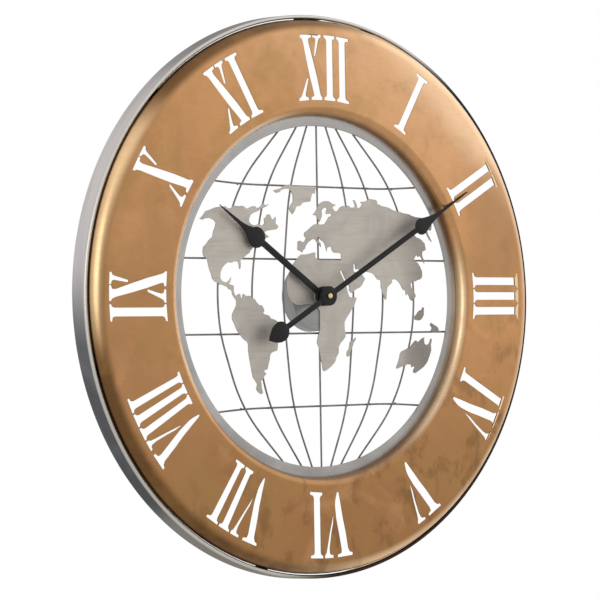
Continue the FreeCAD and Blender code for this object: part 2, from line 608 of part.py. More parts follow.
def build_wires():
    globe = place("globe_radius")
    inner_y, outer_y = INNER_LATITUDE_SHARE * globe, OUTER_LATITUDE_SHARE * globe
    level = place("latitude_level")
    for name, side in (("north", 1), ("south", -1)):
        end = math.sqrt(place("wire_end") ** 2 - inner_y ** 2)
        straight = [(-end, side * inner_y), (end, side * inner_y)]
        shaped(f"latitude_wire_inner_{name}", bent_wire(straight, level))
        high = outer_y + LATITUDE_BOW_SHARE * globe
        end = math.sqrt(place("wire_end") ** 2 - high ** 2)
        bend = LATITUDE_FLAT_SHARE * globe
        points = [(-end, side * high), (-bend, side * outer_y), (bend, side * outer_y), (end, side * high)]
        shaped(f"latitude_wire_outer_{name}", bent_wire(points, level))
    level = place("meridian_level")
    beside_cup = place("cup_outer") + size("cup_flare") + size("wire_radius") + size("wire_clearance")
    for name, at_equator, at_inner, at_outer, at_ring in MERIDIAN_SHARES:
        upper = [(max(at_equator * globe, beside_cup), 0), (at_inner * globe, inner_y),
                 (at_outer * globe, outer_y),
                 ring_point(at_ring * globe)]
        whole = [(x, -y) for x, y in reversed(upper[1:])] + upper
        shaped(f"meridian_wire_{name}_east", bent_wire(whole, level))
        shaped(f"meridian_wire_{name}_west", bent_wire([(-x, y) for x, y in whole], level))
    start = place("cup_outer") + size("cup_flare")
    for name, side in (("north", 1), ("south", -1)):
        points = [(0, side * start), (0, side * place("wire_end"))]
        shaped(f"meridian_wire_centre_{name}", bent_wire(points, level))


# Coastlines, clockwise, in shares of 1/180 of the globe's radius: across and up from its centre.
CHART_STEPS = 180
AMERICAS_SHARES = (
    (-155, 79), (-151, 82), (-149, 84.5), (-147, 87), (-142, 88.5), (-135, 91), (-128.5, 92), (-122, 92.5),
    (-119, 90.5), (-114, 91), (-112, 93.5), (-106, 93), (-100, 93.5), (-97, 92), (-94, 90.5), (-91, 92),
    (-87, 93.5), (-83, 93), (-82, 91.5), (-78, 92.5), (-75, 95.5), (-73, 96.5), (-70, 94.5), (-66, 96),
    (-69, 93.5), (-74, 91.5), (-77, 90.5), (-80, 88.5), (-86, 86.5), (-90, 84), (-92, 80), (-92, 77),
    (-89, 74.5), (-85, 73.5), (-79, 75), (-75, 73), (-72, 76), (-72.5, 81), (-70, 82), (-68.5, 85),
    (-66, 85.5), (-64, 84), (-62.5, 80.5), (-60.5, 80), (-57.5, 83), (-57, 80), (-57.5, 76), (-54, 73),
    (-56, 70), (-63, 69), (-70, 68), (-72, 66), (-69, 63.5), (-66, 62), (-69, 61), (-71, 60),
    (-77, 55), (-83, 50), (-87, 50.5), (-90, 48), (-92, 45), (-97, 42), (-100, 39.5), (-104, 37),
    (-103.5, 33), (-104, 28.5), (-105.5, 28), (-106, 33), (-107, 35.5), (-112, 36), (-115, 34.5),
    (-120, 35), (-125, 31.5), (-127, 29.5), (-129.5, 25), (-130, 19), (-127.5, 15.5), (-122, 14),
    (-118.5, 16.5), (-116, 19.5), (-117.5, 15), (-119, 12.5), (-113, 11), (-113, 4.5), (-111, 0.5),
    (-109, 1), (-107, 2.5), (-105, 2.5), (-104, -1.5), (-102, -1.5), (-101.5, 2), (-100, 2.5), (-98, 0.5),
    (-92, 0.5), (-89, -2), (-86, -3), (-84, -6), (-80, -9.5), (-77.5, -9), (-76, -11), (-74.5, -13),
    (-74, -15.5), (-75.5, -17), (-74.5, -18.5), (-68, -20), (-65.5, -23), (-60, -24.5), (-56.5, -26.5),
    (-53, -28), (-50, -33), (-50, -37), (-53, -42), (-57, -47), (-57, -52), (-58, -56.5), (-62, -57.5),
    (-66, -59), (-67.5, -62), (-68, -66), (-69.5, -70), (-70.5, -74.5), (-72, -76.5), (-74, -76),
    (-75.5, -78), (-73.5, -79.5), (-72.5, -80.5), (-75, -82.5), (-77.5, -86), (-80, -88), (-79, -90.5),
    (-79, -95), (-78, -98), (-77.5, -100.5), (-80, -101.5), (-84, -99), (-86, -96), (-84.5, -91),
    (-87, -87.5), (-90, -84), (-91.5, -78), (-93, -70), (-94.5, -63), (-95.5, -56), (-95.5, -50),
    (-96.5, -47), (-100.5, -45), (-104, -41.5), (-106.5, -39), (-110, -34.5), (-113, -28), (-115.5, -24),
    (-115.5, -18.5), (-112.5, -13.5), (-110, -9), (-110, -4), (-112.5, -1.5), (-115, 2), (-115.5, 6),
    (-119.5, 7.5), (-121, 9.5), (-127, 11.5), (-131, 12), (-134, 14), (-137, 15), (-140, 18),
    (-141.5, 23), (-144, 29), (-145.5, 35), (-146, 38), (-150, 40.5), (-151.5, 44), (-151, 50),
    (-147, 53.5), (-143, 58), (-139, 61), (-138, 66), (-136, 70), (-134.5, 75), (-137, 78), (-142, 80),
    (-148, 79.5), (-151, 78),
)
GREENLAND_SHARES = (
    (-60, 110.5), (-56, 111.5), (-50, 113), (-45, 116), (-38, 117), (-34, 116), (-2, 116), (-4, 112),
    (-4.5, 108.5), (-7, 109.5), (-9, 107), (-10, 103), (-11, 100), (-18, 99), (-21, 98.5), (-24, 95.5),
    (-30, 94), (-32, 89.5), (-35, 86), (-37.5, 88.5), (-39, 92), (-36.5, 96.5), (-34, 99), (-34, 106),
    (-36.5, 110), (-38, 112.5), (-44, 112.5), (-50, 111), (-51, 109), (-56, 108),
)
EURASIA_AFRICA_SHARES = (
    (-8, 86), (-5.5, 88), (-3, 91), (-1, 95), (2, 98.5), (8, 101), (14, 101), (19, 98.5), (24, 97),
    (21, 96), (19, 94.5), (21, 91.5), (24, 90), (27, 92), (29, 94.5), (33, 96.5), (38, 95.5), (41, 97),
    (44, 95), (50, 95.3), (50, 98), (47.5, 103), (49.5, 103), (52, 99.5), (53, 95.5), (55, 94), (58, 96),
    (60, 98.5), (58, 101.5), (65, 102), (70, 105), (74, 104.5), (79, 104), (81, 102.5), (81, 100),
    (88, 97.5), (95, 96.5), (100, 95), (104, 93), (112, 92), (118, 90.5), (126, 89.5), (131, 87.5),
    (136, 86.5), (144, 86), (151, 85), (157, 82), (158.5, 78), (158, 74), (157, 72), (154, 73),
    (152, 71.5), (153.5, 67.5), (156, 64), (158.5, 59.5), (155, 62), (151.5, 67), (149.5, 72), (146, 73.5),
    (140, 72), (134, 70), (133, 67), (136, 64.5), (140, 63.5), (143, 62), (145, 60), (148, 58),
    (148.5, 55), (149.5, 51.5), (147, 49.5), (145, 50), (144, 46), (144.5, 43), (147, 39), (147, 36),
    (145, 38), (143, 42), (141, 44), (138, 43), (136, 45.5), (133, 42), (132, 39.5), (134, 38.5),
    (138, 36), (141, 32), (143.5, 27), (143.5, 21), (140.5, 18.5), (136, 17.5), (134, 16.5), (131, 16),
    (128, 15), (126.5, 12.5), (128, 9), (131, 6), (133, 2), (134, 0.5), (132.5, -1.5), (130, -4),
    (128.5, -5), (125.5, -3), (124.5, 0), (122.5, 2.5), (121, 4), (120.5, 1), (119.5, 2.5), (119.5, 6),
    (116, 7), (114, 10), (112, 13), (109.5, 16), (106, 18), (103, 18.5), (100.5, 18), (100, 14.5),
    (96, 11.5), (93.5, 9.5), (92.5, 4), (92, -2.5), (90.5, -4), (89, -1), (87.5, 2), (86, 6), (84.5, 10),
    (84.5, 15), (84, 17.5), (80, 18), (78, 20), (76, 22.5), (72.5, 25), (66, 26), (61, 26.5), (59, 26),
    (57, 27.5), (53.5, 29), (53, 30.5), (51, 28.5), (49.3, 29.5), (48.5, 35), (46.5, 34.5), (46.5, 27),
    (50, 25.5), (54, 25), (58, 23.5), (61.5, 20), (62.5, 18), (60, 15.5), (58, 12), (55, 9.5), (51, 8),
    (48, 6.5), (45, 5), (43, 3.5), (41.5, 5), (40, 7), (41, 9.5), (40, 11), (35, 18.5), (30.5, 27),
    (28.5, 27.5), (28, 26), (33, 17.5), (36.5, 10), (38, 5), (39.5, 1), (41, -1), (49.5, -1.5), (50, -2),
    (49, -5), (46, -11), (41, -17), (36, -23), (33, -27.5), (33, -35), (34, -39), (34, -43), (31, -46.5),
    (27, -50), (24.5, -54), (24.5, -60), (21, -65), (19, -70), (14.5, -74), (10, -77), (4.5, -79.5),
    (2.5, -78), (2, -72), (0, -67), (-0.5, -62), (-2, -55), (-4.5, -50), (-4.5, -46.5), (-3, -42),
    (-1, -37), (-0.5, -30), (-0.5, -16), (-3, -12), (-8, -9), (-14, -8), (-20, -8.5), (-28, -9.5),
    (-33, -9), (-37, -6), (-41, -1), (-43.5, 5), (-44, 12), (-43.5, 18), (-41, 24), (-38, 29), (-34, 35),
    (-31, 38), (-27, 42), (-24, 44), (-19, 44), (-13, 45), (-9, 46), (-6, 46.5), (-5, 45), (-5.5, 42),
    (-4, 39.5), (0, 38.5), (29.5, 38.5), (30, 39.5), (30, 45), (29, 46), (26, 46), (20, 46.5), (17.5, 49),
    (17, 51.5), (16.5, 53.5), (14, 52), (11.5, 52), (10.5, 50), (10.5, 47.5), (9.5, 50), (8.5, 53),
    (7.5, 56), (5, 58.5), (3, 59), (1.5, 60.5), (-0.5, 63), (-2.5, 62), (-2, 59.5), (1.5, 57), (2.5, 54.5),
    (2.5, 52), (1, 54), (-3, 57), (-5, 60), (-8, 60.5), (-11, 59), (-15, 56.5), (-18, 53), (-19, 50),
    (-22, 48), (-22.5, 46), (-25, 47.5), (-29, 49), (-28.5, 53), (-28.5, 57.5), (-26, 58.5), (-23, 57.5),
    (-20, 57), (-18, 60), (-17.5, 61.5), (-20, 64), (-19, 67.5), (-16, 69), (-12, 72), (-9, 74), (-6, 76),
    (-3, 76.5), (2, 76), (8, 76.5), (9.5, 78.5), (12, 81.5), (13.5, 84), (18, 86), (17, 87.5), (12, 87.5),
    (10.5, 87), (10, 90), (12, 92.5), (10, 94), (7, 93.5), (4, 91), (4.5, 88), (4.5, 85), (3, 82),
    (1.5, 78.5), (0, 80.5), (-2, 83), (-3.5, 85.5),
)
MADAGASCAR_SHARES = (
    (48.5, -44), (47.5, -47), (45, -50), (43.5, -54), (41, -58), (40, -62), (38, -64.5), (35.5, -64),
    (35.5, -59.5), (38.5, -56), (39.5, -52), (40, -49), (42, -47.5), (45, -46.5),
)
AUSTRALIA_SHARES = (
    (104, -78), (106.5, -72.5), (109, -67), (110, -62.5), (112, -60), (116, -58.5), (120, -57),
    (125, -55), (128, -52), (130, -50), (133, -48), (135, -49.5), (137, -50), (139, -48), (142, -46),
    (145.5, -45), (144.5, -47.5), (145, -50), (145.5, -52), (148, -53.5), (151, -52.5), (153, -50.5),
    (154, -47), (156, -46.5), (155.5, -50), (154.5, -53), (155, -59), (152.5, -65), (149, -72), (144, -77),
    (138, -80.5), (131, -84), (128.5, -83), (129, -80), (131, -77), (128.5, -76.5), (126.5, -77.5),
    (125.5, -76.5), (126.5, -75), (125, -74.5), (120, -74), (117, -75.5), (112, -76.5), (106, -78.5),
)
NEW_GUINEA_SHARES = (
    (155.5, -31), (157.5, -29), (159, -30), (163, -32), (166, -33.5), (168, -36), (168, -39.5),
    (158, -39.5), (157, -37), (158.5, -35), (157, -33),
)
BORNEO_SHARES = (
    (131.8, -22), (132, -25.5), (137, -26.5), (140, -26), (143, -23.5), (145, -20), (145, -16),
    (145.5, -12.5), (143.5, -12), (142, -15), (139, -15.5), (136, -18), (134, -20.5),
)
LAND_SHARES = (
    ("land_americas", AMERICAS_SHARES), ("land_greenland", GREENLAND_SHARES),
    ("land_madagascar", MADAGASCAR_SHARES), ("land_australia", AUSTRALIA_SHARES),
    ("land_borneo", BORNEO_SHARES),
)


def land(shares, level):
    unit = place("globe_radius") / CHART_STEPS
    return flat([(x * unit, y * unit) for x, y in shares], level, size("land_sheet"))


def build_lands():
    level = place("land_back")
    for name, shares in LAND_SHARES:
        shaped(name, land(shares, level))
    hole = rod(0, 0, place("bush_radius") + size("fit_gap"), level - size("overrun"),
               place("land_front") + size("overrun"))
    shaped("land_eurasia_africa", land(EURASIA_AFRICA_SHARES, level).cut(hole))
    # New Guinea hangs on a latitude alone, so it sits a wire deeper.
    on_latitude = place("latitude_level") + size("wire_radius") + size("weld_gap")
    shaped("land_new_guinea", land(NEW_GUINEA_SHARES, on_latitude))


# Spun steel cup, open to the wall, behind the middle of the globe.
def build_cup():
    hole = "derived.bush_radius + sizes.fit_gap"
    body = turned_body("cup", (
        (hole, "derived.case_front"), (hole, "derived.land_back"), ("derived.cup_outer", "derived.land_back"),
        ("derived.cup_outer + sizes.cup_flare", "0"), ("derived.cup_inner + sizes.cup_flare", "0"),
        ("derived.cup_inner", "derived.case_front"),
    ))
    hang(body, "movement_cup")


# Directions, in degrees, from each wheel to the next. The knob's lies a whole number of the minute
# wheel's teeth from the centre's, so that both its partners find a gap there.
MINUTE_WHEEL_TURN = 20
KNOB_TURN = 80
INTERMEDIATE_TURN = 165
SECONDS_TURN = 95
STEP_TURN = 85
ROTOR_TURN = 0


def step_from(point, spacing, degrees):
    angle = math.radians(degrees)
    return point[0] + spacing * math.cos(angle), point[1] + spacing * math.sin(angle)


CENTRE = (0, 0)
MINUTE_WHEEL = step_from(CENTRE, size("motion_spacing"), MINUTE_WHEEL_TURN)
KNOB = step_from(MINUTE_WHEEL, size("motion_spacing"), KNOB_TURN)
INTERMEDIATE = step_from(CENTRE, size("centre_spacing"), INTERMEDIATE_TURN)
SECONDS = step_from(INTERMEDIATE, size("going_spacing"), SECONDS_TURN)
STEP = step_from(SECONDS, size("step_spacing"), STEP_TURN)
ROTOR = step_from(STEP, size("rotor_spacing"), ROTOR_TURN)


# Layers of wheels, counted back from the front wall of the case.
def layer(index):
    """The back of a wheel in this layer; the pinion it meshes with is a little thicker on both sides."""
    return place("case_inner") - (size("layer_gap") + size("wheel_sheet")) * (index + 1)


HOUR_LAYER, MINUTE_LAYER, CENTRE_LAYER, INTERMEDIATE_LAYER, STEP_LAYER, MOTOR_LAYER, SECONDS_LAYER = range(7)
# Tooth heights in modules, and half widths as shares of the pitch between teeth.
TIP_MODULES, ROOT_MODULES = 0.7, 1.15
TIP_WIDTH_SHARE, ROOT_WIDTH_SHARE = 0.07, 0.27


def toothed(at, teeth, module, low, high, towards=None, tooth=True):
    """A toothed disc; towards is the direction, in degrees, that a tooth or a gap points in."""
    pitch = math.tau / teeth
    first = math.radians(towards or 0) + (0 if tooth else pitch / 2)
    tip, root = module * (teeth / 2 + TIP_MODULES), module * (teeth / 2 - ROOT_MODULES)
    points = []
    for index in range(teeth):
        middle = first + index * pitch
        for radius, offset in ((root, -ROOT_WIDTH_SHARE), (tip, -TIP_WIDTH_SHARE),
                               (tip, TIP_WIDTH_SHARE), (root, ROOT_WIDTH_SHARE)):
            angle = middle + offset * pitch
            points.append((at[0] + radius * math.cos(angle), at[1] + radius * math.sin(angle)))
    return flat(points, low, high - low)


def pinion(at, teeth, module, index, towards=None, tooth=True):
    """The small partner of a wheel in this layer, proud of it on both sides."""
    proud = size("pinion_proud")
    low = layer(index) - proud
    return toothed(at, teeth, module, low, low + size("wheel_sheet") + 2 * proud, towards, tooth)


def wheel(at, teeth, module, index, towards=None, tooth=True):
    low = layer(index)
    return toothed(at, teeth, module, low, low + size("wheel_sheet"), towards, tooth)


def motor_level():
    """The middle of the stator and of the rotor's magnet."""
    return layer(MOTOR_LAYER) + size("wheel_sheet") / 2


def pivots(at):
    return rod(*at, size("pivot_radius"), place("pivot_back"), place("pivot_front"))


def build_train():
    """The going train, from the rotor to the centre wheel, and the motion work behind the hands."""
    magnet_low = motor_level() - size("magnet_height") / 2
    magnet = rod(*ROTOR, size("magnet_radius"), magnet_low, magnet_low + size("magnet_height"))
    shaped("rotor", pivots(ROTOR).fuse([
        magnet, pinion(ROTOR, ROTOR_PINION_TEETH, place("rotor_module"), STEP_LAYER, ROTOR_TURN + 180)]))
    shaped("step_wheel", pivots(STEP).fuse([
        wheel(STEP, STEP_TEETH, place("rotor_module"), STEP_LAYER, ROTOR_TURN, tooth=False),
        pinion(STEP, STEP_PINION_TEETH, place("step_module"), SECONDS_LAYER, STEP_TURN + 180)]))
    shaped("seconds_wheel", pivots(SECONDS).fuse([
        wheel(SECONDS, SECONDS_TEETH, place("step_module"), SECONDS_LAYER, STEP_TURN, tooth=False),
        pinion(SECONDS, SECONDS_PINION_TEETH, place("going_module"), INTERMEDIATE_LAYER, SECONDS_TURN + 180)]))
    shaped("intermediate_wheel", pivots(INTERMEDIATE).fuse([
        wheel(INTERMEDIATE, INTERMEDIATE_TEETH, place("going_module"), INTERMEDIATE_LAYER, SECONDS_TURN,
              tooth=False),
        pinion(INTERMEDIATE, INTERMEDIATE_PINION_TEETH, place("centre_module"), CENTRE_LAYER,
               INTERMEDIATE_TURN + 180)]))
    clutch = rod(*CENTRE, size("arbor_radius") + size("run_gap"), 0, place("case_inner"))
    shaped("centre_wheel", wheel(CENTRE, CENTRE_TEETH, place("centre_module"), CENTRE_LAYER,
                                 INTERMEDIATE_TURN, tooth=False).cut(clutch))
    minute_low = layer(MINUTE_LAYER)
    hour_low = layer(HOUR_LAYER)
    shaped("minute_arbor", pivots_and_arbor(minute_low))
    shaped("minute_wheel", pivots(MINUTE_WHEEL).fuse([
        wheel(MINUTE_WHEEL, MINUTE_TEETH, place("motion_module"), MINUTE_LAYER, MINUTE_WHEEL_TURN + 180,
              tooth=False),
        pinion(MINUTE_WHEEL, HOUR_PINION_TEETH, place("hour_module"), HOUR_LAYER, MINUTE_WHEEL_TURN + 180)]))
    tube = rod(*CENTRE, place("hour_tube_radius"), hour_low, place("hour_top"))
    bore = rod(*CENTRE, size("minute_arbor_radius") + size("run_gap"), 0, place("minute_top"))
    shaped("hour_wheel", wheel(CENTRE, HOUR_TEETH, place("hour_module"), HOUR_LAYER, MINUTE_WHEEL_TURN,
                               tooth=False).fuse(tube).cut(bore))


def pivots_and_arbor(minute_low):
    """The minute arbor: pivot, centre arbor, minute pinion, and the shaft that carries the minute hand."""
    top = place("minute_top") + size("cap_height") - size("cap_wall") - size("fit_gap")
    return rod(*CENTRE, size("pivot_radius"), place("pivot_back"), minute_low).fuse([
        rod(*CENTRE, size("arbor_radius"), layer(INTERMEDIATE_LAYER), minute_low),
        pinion(CENTRE, MINUTE_PINION_TEETH, place("motion_module"), MINUTE_LAYER, MINUTE_WHEEL_TURN),
        rod(*CENTRE, size("minute_arbor_radius"), minute_low + size("wheel_sheet"), top)])


def build_knob():
    """The setting knob behind the rear cover, whose stem's pinion turns the minute wheel."""
    back = place("cover_back") - size("fit_gap")
    disc = rod(*KNOB, size("knob_radius"), place("case_back"), back)
    stem = rod(*KNOB, size("stem_radius"), back, layer(MINUTE_LAYER))
    pivot = rod(*KNOB, size("pivot_radius"), layer(MINUTE_LAYER), place("pivot_front"))
    gear = pinion(KNOB, MINUTE_PINION_TEETH, place("motion_module"), MINUTE_LAYER, KNOB_TURN + 180)
    shaped("setting_knob", disc.fuse([stem, pivot, gear]))


# Movement case: a square shell with rounded corners, open to the back.
def rounded_square(half, round_radius, low, high):
    block = Part.makeBox(2 * half, 2 * half, high - low, V(-half, -half, low))
    return block.common(rod(*CENTRE, round_radius, low, high))


# Screw posts as shares of the case's inner half width.
POST_SHARES = ((-0.83, 0.84), (0.86, 0.24), (0.86, -0.17))
# Board posts as shares of the board's length from its lower end.
BOARD_POST_SHARES = (0.15, 0.85)


def posts():
    inner = place("case_room")
    return [(x * inner, y * inner) for x, y in POST_SHARES]


def board_corner():
    return -place("case_room") + size("fit_gap"), -place("wheel_reach") + size("fit_gap")


def build_case():
    low, high, inner = place("case_back"), place("case_front"), place("case_room")
    shell = rounded_square(place("case_half"), place("case_round"), low, high)
    hollow = rounded_square(inner, place("case_round") - size("case_wall"), low - size("overrun"),
                            place("case_inner"))
    bay_wall = Part.makeBox(2 * inner, size("bay_wall"), place("case_inner") - place("cover_front"),
                            V(-inner, -place("bay_top"), place("cover_front")))
    bush = rod(*CENTRE, place("bush_radius"), place("case_inner"), place("bush_top"))
    added = [bay_wall.common(hollow), bush]
    for x, y in posts():
        added.append(rod(x, y, size("post_radius"), place("cover_front"), place("case_inner")))
    corner = board_corner()
    board_front = place("cover_front") + size("board_gap") + size("board_sheet")
    for share in BOARD_POST_SHARES:
        added.append(rod(corner[0] + size("board_width") / 2, corner[1] + share * size("board_length"),
                         size("post_radius"), board_front, place("case_inner")))
    bearing_depth = size("pivot_depth") + size("fit_gap")
    holes = [rod(*CENTRE, place("bush_bore"), low, place("bush_top") + size("overrun"))]
    for at in (MINUTE_WHEEL, KNOB, INTERMEDIATE, SECONDS, STEP, ROTOR):
        holes.append(rod(*at, size("pivot_radius") + size("run_gap"), place("case_inner") - size("overrun"),
                         place("case_inner") + bearing_depth))
    for x, y in posts():
        holes.append(rod(x, y, size("screw_radius") + size("seat_gap"), low,
                         place("cover_back") + size("screw_length") + size("fit_gap")))
    shaped("movement_case", shell.cut(hollow).fuse(added).cut(holes))


def build_cover():
    """The rear cover over the wheels, with their rear bearings; the battery bay stays open."""
    low, high = place("cover_back"), place("cover_front")
    inner = place("case_room") - size("fit_gap")
    plate = rounded_square(inner, place("case_round") - size("case_wall") - size("fit_gap"), low, high)
    bay = Part.makeBox(2 * inner, 2 * inner, high - low, V(-inner, -place("bay_top") - 2 * inner, low))
    arbors = (CENTRE, MINUTE_WHEEL, INTERMEDIATE, SECONDS, STEP, ROTOR)
    bosses = [rod(*at, size("boss_radius"), high, high + size("boss_height")) for at in arbors]
    holes = [rod(*at, size("pivot_radius") + size("run_gap"), place("pivot_back") - size("fit_gap"),
                 high + size("boss_height") + size("overrun")) for at in arbors]
    holes.append(rod(*KNOB, size("stem_radius") + size("run_gap"), low - size("overrun"),
                     high + size("overrun")))
    for x, y in posts():
        holes.append(rod(x, y, size("screw_radius") + size("fit_gap"), low - size("overrun"),
                         high + size("overrun")))
    shaped("rear_cover", plate.cut(bay).fuse(bosses).cut(holes))


def build_screws():
    """Three like screws, heads to the wall."""
    low = place("cover_back")
    screws = []
    for x, y in posts():
        head = rod(x, y, size("screw_head_radius"), low - size("screw_head_height"), low)
        screws.append(head.fuse(rod(x, y, size("screw_radius"), low, low + size("screw_length"))))
    shaped("cover_screws", Part.makeCompound(screws))


def build_power():
    """Battery across the foot of the case, with a contact plate at each end."""
    level = "derived.case_back + sizes.battery_radius + sizes.fit_gap"
    drop = "-derived.battery_drop"
    can = cylinder("sizes.battery_radius", "sizes.battery_length - sizes.nub_height",
                   "-sizes.battery_length / 2", drop, level, ALONG_X)
    nub = cylinder("sizes.nub_radius", "sizes.nub_height", "sizes.battery_length / 2 - sizes.nub_height",
                   drop, level, ALONG_X)
    hang(fuse(can, nub), "battery")
    for name, start in (("positive", "derived.battery_end - sizes.contact_sheet"),
                        ("negative", "-derived.case_room")):
        plate = solid("Box", {
            "Length": "derived.case_room - derived.battery_end + sizes.contact_sheet",
            "Width": "sizes.contact_width", "Height": "sizes.contact_width"})
        hang(plate, f"battery_contact_{name}", start, f"{drop} - sizes.contact_width / 2",
             f"{level} - sizes.contact_width / 2")


def build_motor():
    """Stator round the rotor, its core through the wound bobbin."""
    low = motor_level() - size("stator_sheet") / 2
    high = low + size("stator_sheet")
    hole = size("magnet_radius") + size("air_gap")
    margin = hole + size("stator_margin")
    left, foot = ROTOR[0] - margin, ROTOR[1] - margin
    core_y = ROTOR[1] + margin + size("coil_radius")
    top = core_y + size("core_width") / 2
    coil_start = ROTOR[0] + margin + size("fit_gap")
    coil_end = coil_start + size("coil_length") + 2 * size("bobbin_flange")
    right = coil_end + size("fit_gap") + size("stator_arm")
    core_low = core_y - size("core_width") / 2
    inside_left, inside_right = coil_start - size("fit_gap"), coil_end + size("fit_gap")
    bridge = ROTOR[1] + hole + size("stator_bridge")
    outline = (
        (left, foot), (right, foot), (right, top), (inside_right, top), (inside_right, bridge),
        (inside_left, bridge), (inside_left, top), (left, top),
    )
    core_slot = Part.makeBox(right - left, size("core_width"), size("stator_sheet"), V(left, core_low, low))
    plate = flat(outline, low, size("stator_sheet"))
    rotor_hole = rod(*ROTOR, hole, low - size("overrun"), high + size("overrun"))
    knob_room = rod(*KNOB, size("stem_radius") + size("wheel_clearance"), low, high)
    shaped("stator", plate.cut([rotor_hole, core_slot, knob_room]))
    shaped("coil_core", core_slot)
    middle = (low + high) / 2
    axis = V(1, 0, 0)
    gap = size("fit_gap")

    def barrel(radius, start, end):
        return Part.makeCylinder(radius, end - start, V(start, core_y, middle), axis)

    wound_start, wound_end = coil_start + size("bobbin_flange"), coil_end - size("bobbin_flange")
    inner = math.hypot(size("core_width"), size("stator_sheet")) / 2 + gap
    tube = inner + size("bobbin_wall")
    bobbin = barrel(tube, coil_start, coil_end).fuse([
        barrel(size("coil_radius"), coil_start, wound_start),
        barrel(size("coil_radius"), wound_end, coil_end)])
    shaped("coil_bobbin", bobbin.cut(barrel(inner, coil_start - gap, coil_end + gap)))
    winding = barrel(size("coil_radius") - gap, wound_start, wound_end)
    shaped("coil_winding", winding.cut(barrel(tube, wound_start, wound_end)))


def build_board():
    corner = board_corner()
    low = place("cover_front") + size("board_gap")
    board = Part.makeBox(size("board_width"), size("board_length"), size("board_sheet"), V(*corner, low))
    shaped("circuit_board", board)
    front = low + size("board_sheet")
    crystal = Part.makeCylinder(size("crystal_radius"), size("crystal_length"), V(
        corner[0] + size("board_width") / 2, corner[1] + (size("board_length") - size("crystal_length")) / 2,
        front + size("crystal_radius") + size("weld_gap")), V(0, 1, 0))
    shaped("quartz_crystal", crystal)


def build_fixings():
    """Washer and hexagon nut that clamp the continents, the cup and the case together."""
    hole = "derived.bush_radius + sizes.fit_gap"
    washer = turned_body("washer_body", (
        (hole, "derived.land_front"), (f"{hole} + sizes.washer_rim", "derived.land_front"),
        (f"{hole} + sizes.washer_rim", "derived.nut_back"), (hole, "derived.nut_back"),
    ))
    hang(washer, "washer")
    blank = solid("Prism", {"Circumradius": "derived.nut_radius", "Height": "sizes.nut_height"},
                  level="derived.nut_back")
    thread = cylinder("derived.bush_radius + sizes.seat_gap", "sizes.nut_height + 2 * sizes.overrun",
                      level="derived.nut_back - sizes.overrun")
    hang(cut(blank, thread), "hex_nut")
    cap = turned_body("cap_body", (
        ("sizes.minute_arbor_radius + sizes.seat_gap", "derived.minute_top"),
        ("sizes.cap_radius", "derived.minute_top"),
        ("sizes.cap_radius", "derived.minute_top + sizes.cap_height"),
        ("0", "derived.minute_top + sizes.cap_height"),
        ("0", "derived.minute_top + sizes.cap_height - sizes.cap_wall"),
        ("sizes.minute_arbor_radius + sizes.seat_gap",
         "derived.minute_top + sizes.cap_height - sizes.cap_wall"),
    ))
    hang(cap, "minute_cap_nut")


# The spade beyond its round: half width as a share of the round's radius, at shares of the way to the tip.
SPADE_SHARES = ((0, 0.98), (0.06, 0.86), (0.13, 0.66), (0.2, 0.49), (0.29, 0.33), (0.4, 0.22), (0.6, 0.15),
                (0.8, 0.1), (1, 0.03))
TAIL_SHARES = ((0, 0.99), (0.3, 0.93), (0.55, 0.8), (0.75, 0.58), (0.92, 0.3), (1, 0.04))
# The time shown: degrees clockwise from twelve.
HOUR_TURN, MINUTE_TURN = 305, 60


def leaf(middle, tip, radius, shares, level):
    """A round with a point drawn out of it, along +Y, or along -Y where the tip is negative."""
    right = [(width * radius, middle + along * (tip - middle)) for along, width in shares]
    left = [(-x, y) for x, y in reversed(right)]
    return rod(0, middle, radius, level, level + size("hand_sheet")).fuse(
        flat(right + left, level, size("hand_sheet")))


def shaft(width, start, end, level):
    return Part.makeBox(width, end - start, size("hand_sheet"), V(-width / 2, start, level))


def build_hands():
    level = place("hour_back")
    boss = rod(0, 0, size("boss_hand_radius"), level, place("hour_top"))
    blade = shaft(size("hour_shaft_width"), 0, size("hour_ball"), level).fuse(
        leaf(size("hour_ball"), size("hour_tip"), size("hour_ball_radius"), SPADE_SHARES, level))
    bore = rod(0, 0, place("hour_tube_radius") + size("seat_gap"), 0, place("minute_top"))
    shaped("hour_hand", boss.fuse(blade).cut(bore), turn=-HOUR_TURN)
    level = place("minute_back")
    boss = rod(0, 0, size("boss_hand_radius"), level - size("minute_boss_drop"), place("minute_top"))
    blade = shaft(size("minute_shaft_width"), -size("tail_ball"), size("minute_ball"), level).fuse([
        leaf(size("minute_ball"), size("minute_tip"), size("minute_ball_radius"), SPADE_SHARES, level),
        leaf(-size("tail_ball"), -size("tail_tip"), size("tail_ball_radius"), TAIL_SHARES, level)])
    bore = rod(0, 0, size("minute_arbor_radius") + size("seat_gap"), 0,
               place("minute_top") + size("overrun"))
    shaped("minute_hand", boss.fuse(blade).cut(bore), turn=-MINUTE_TURN)


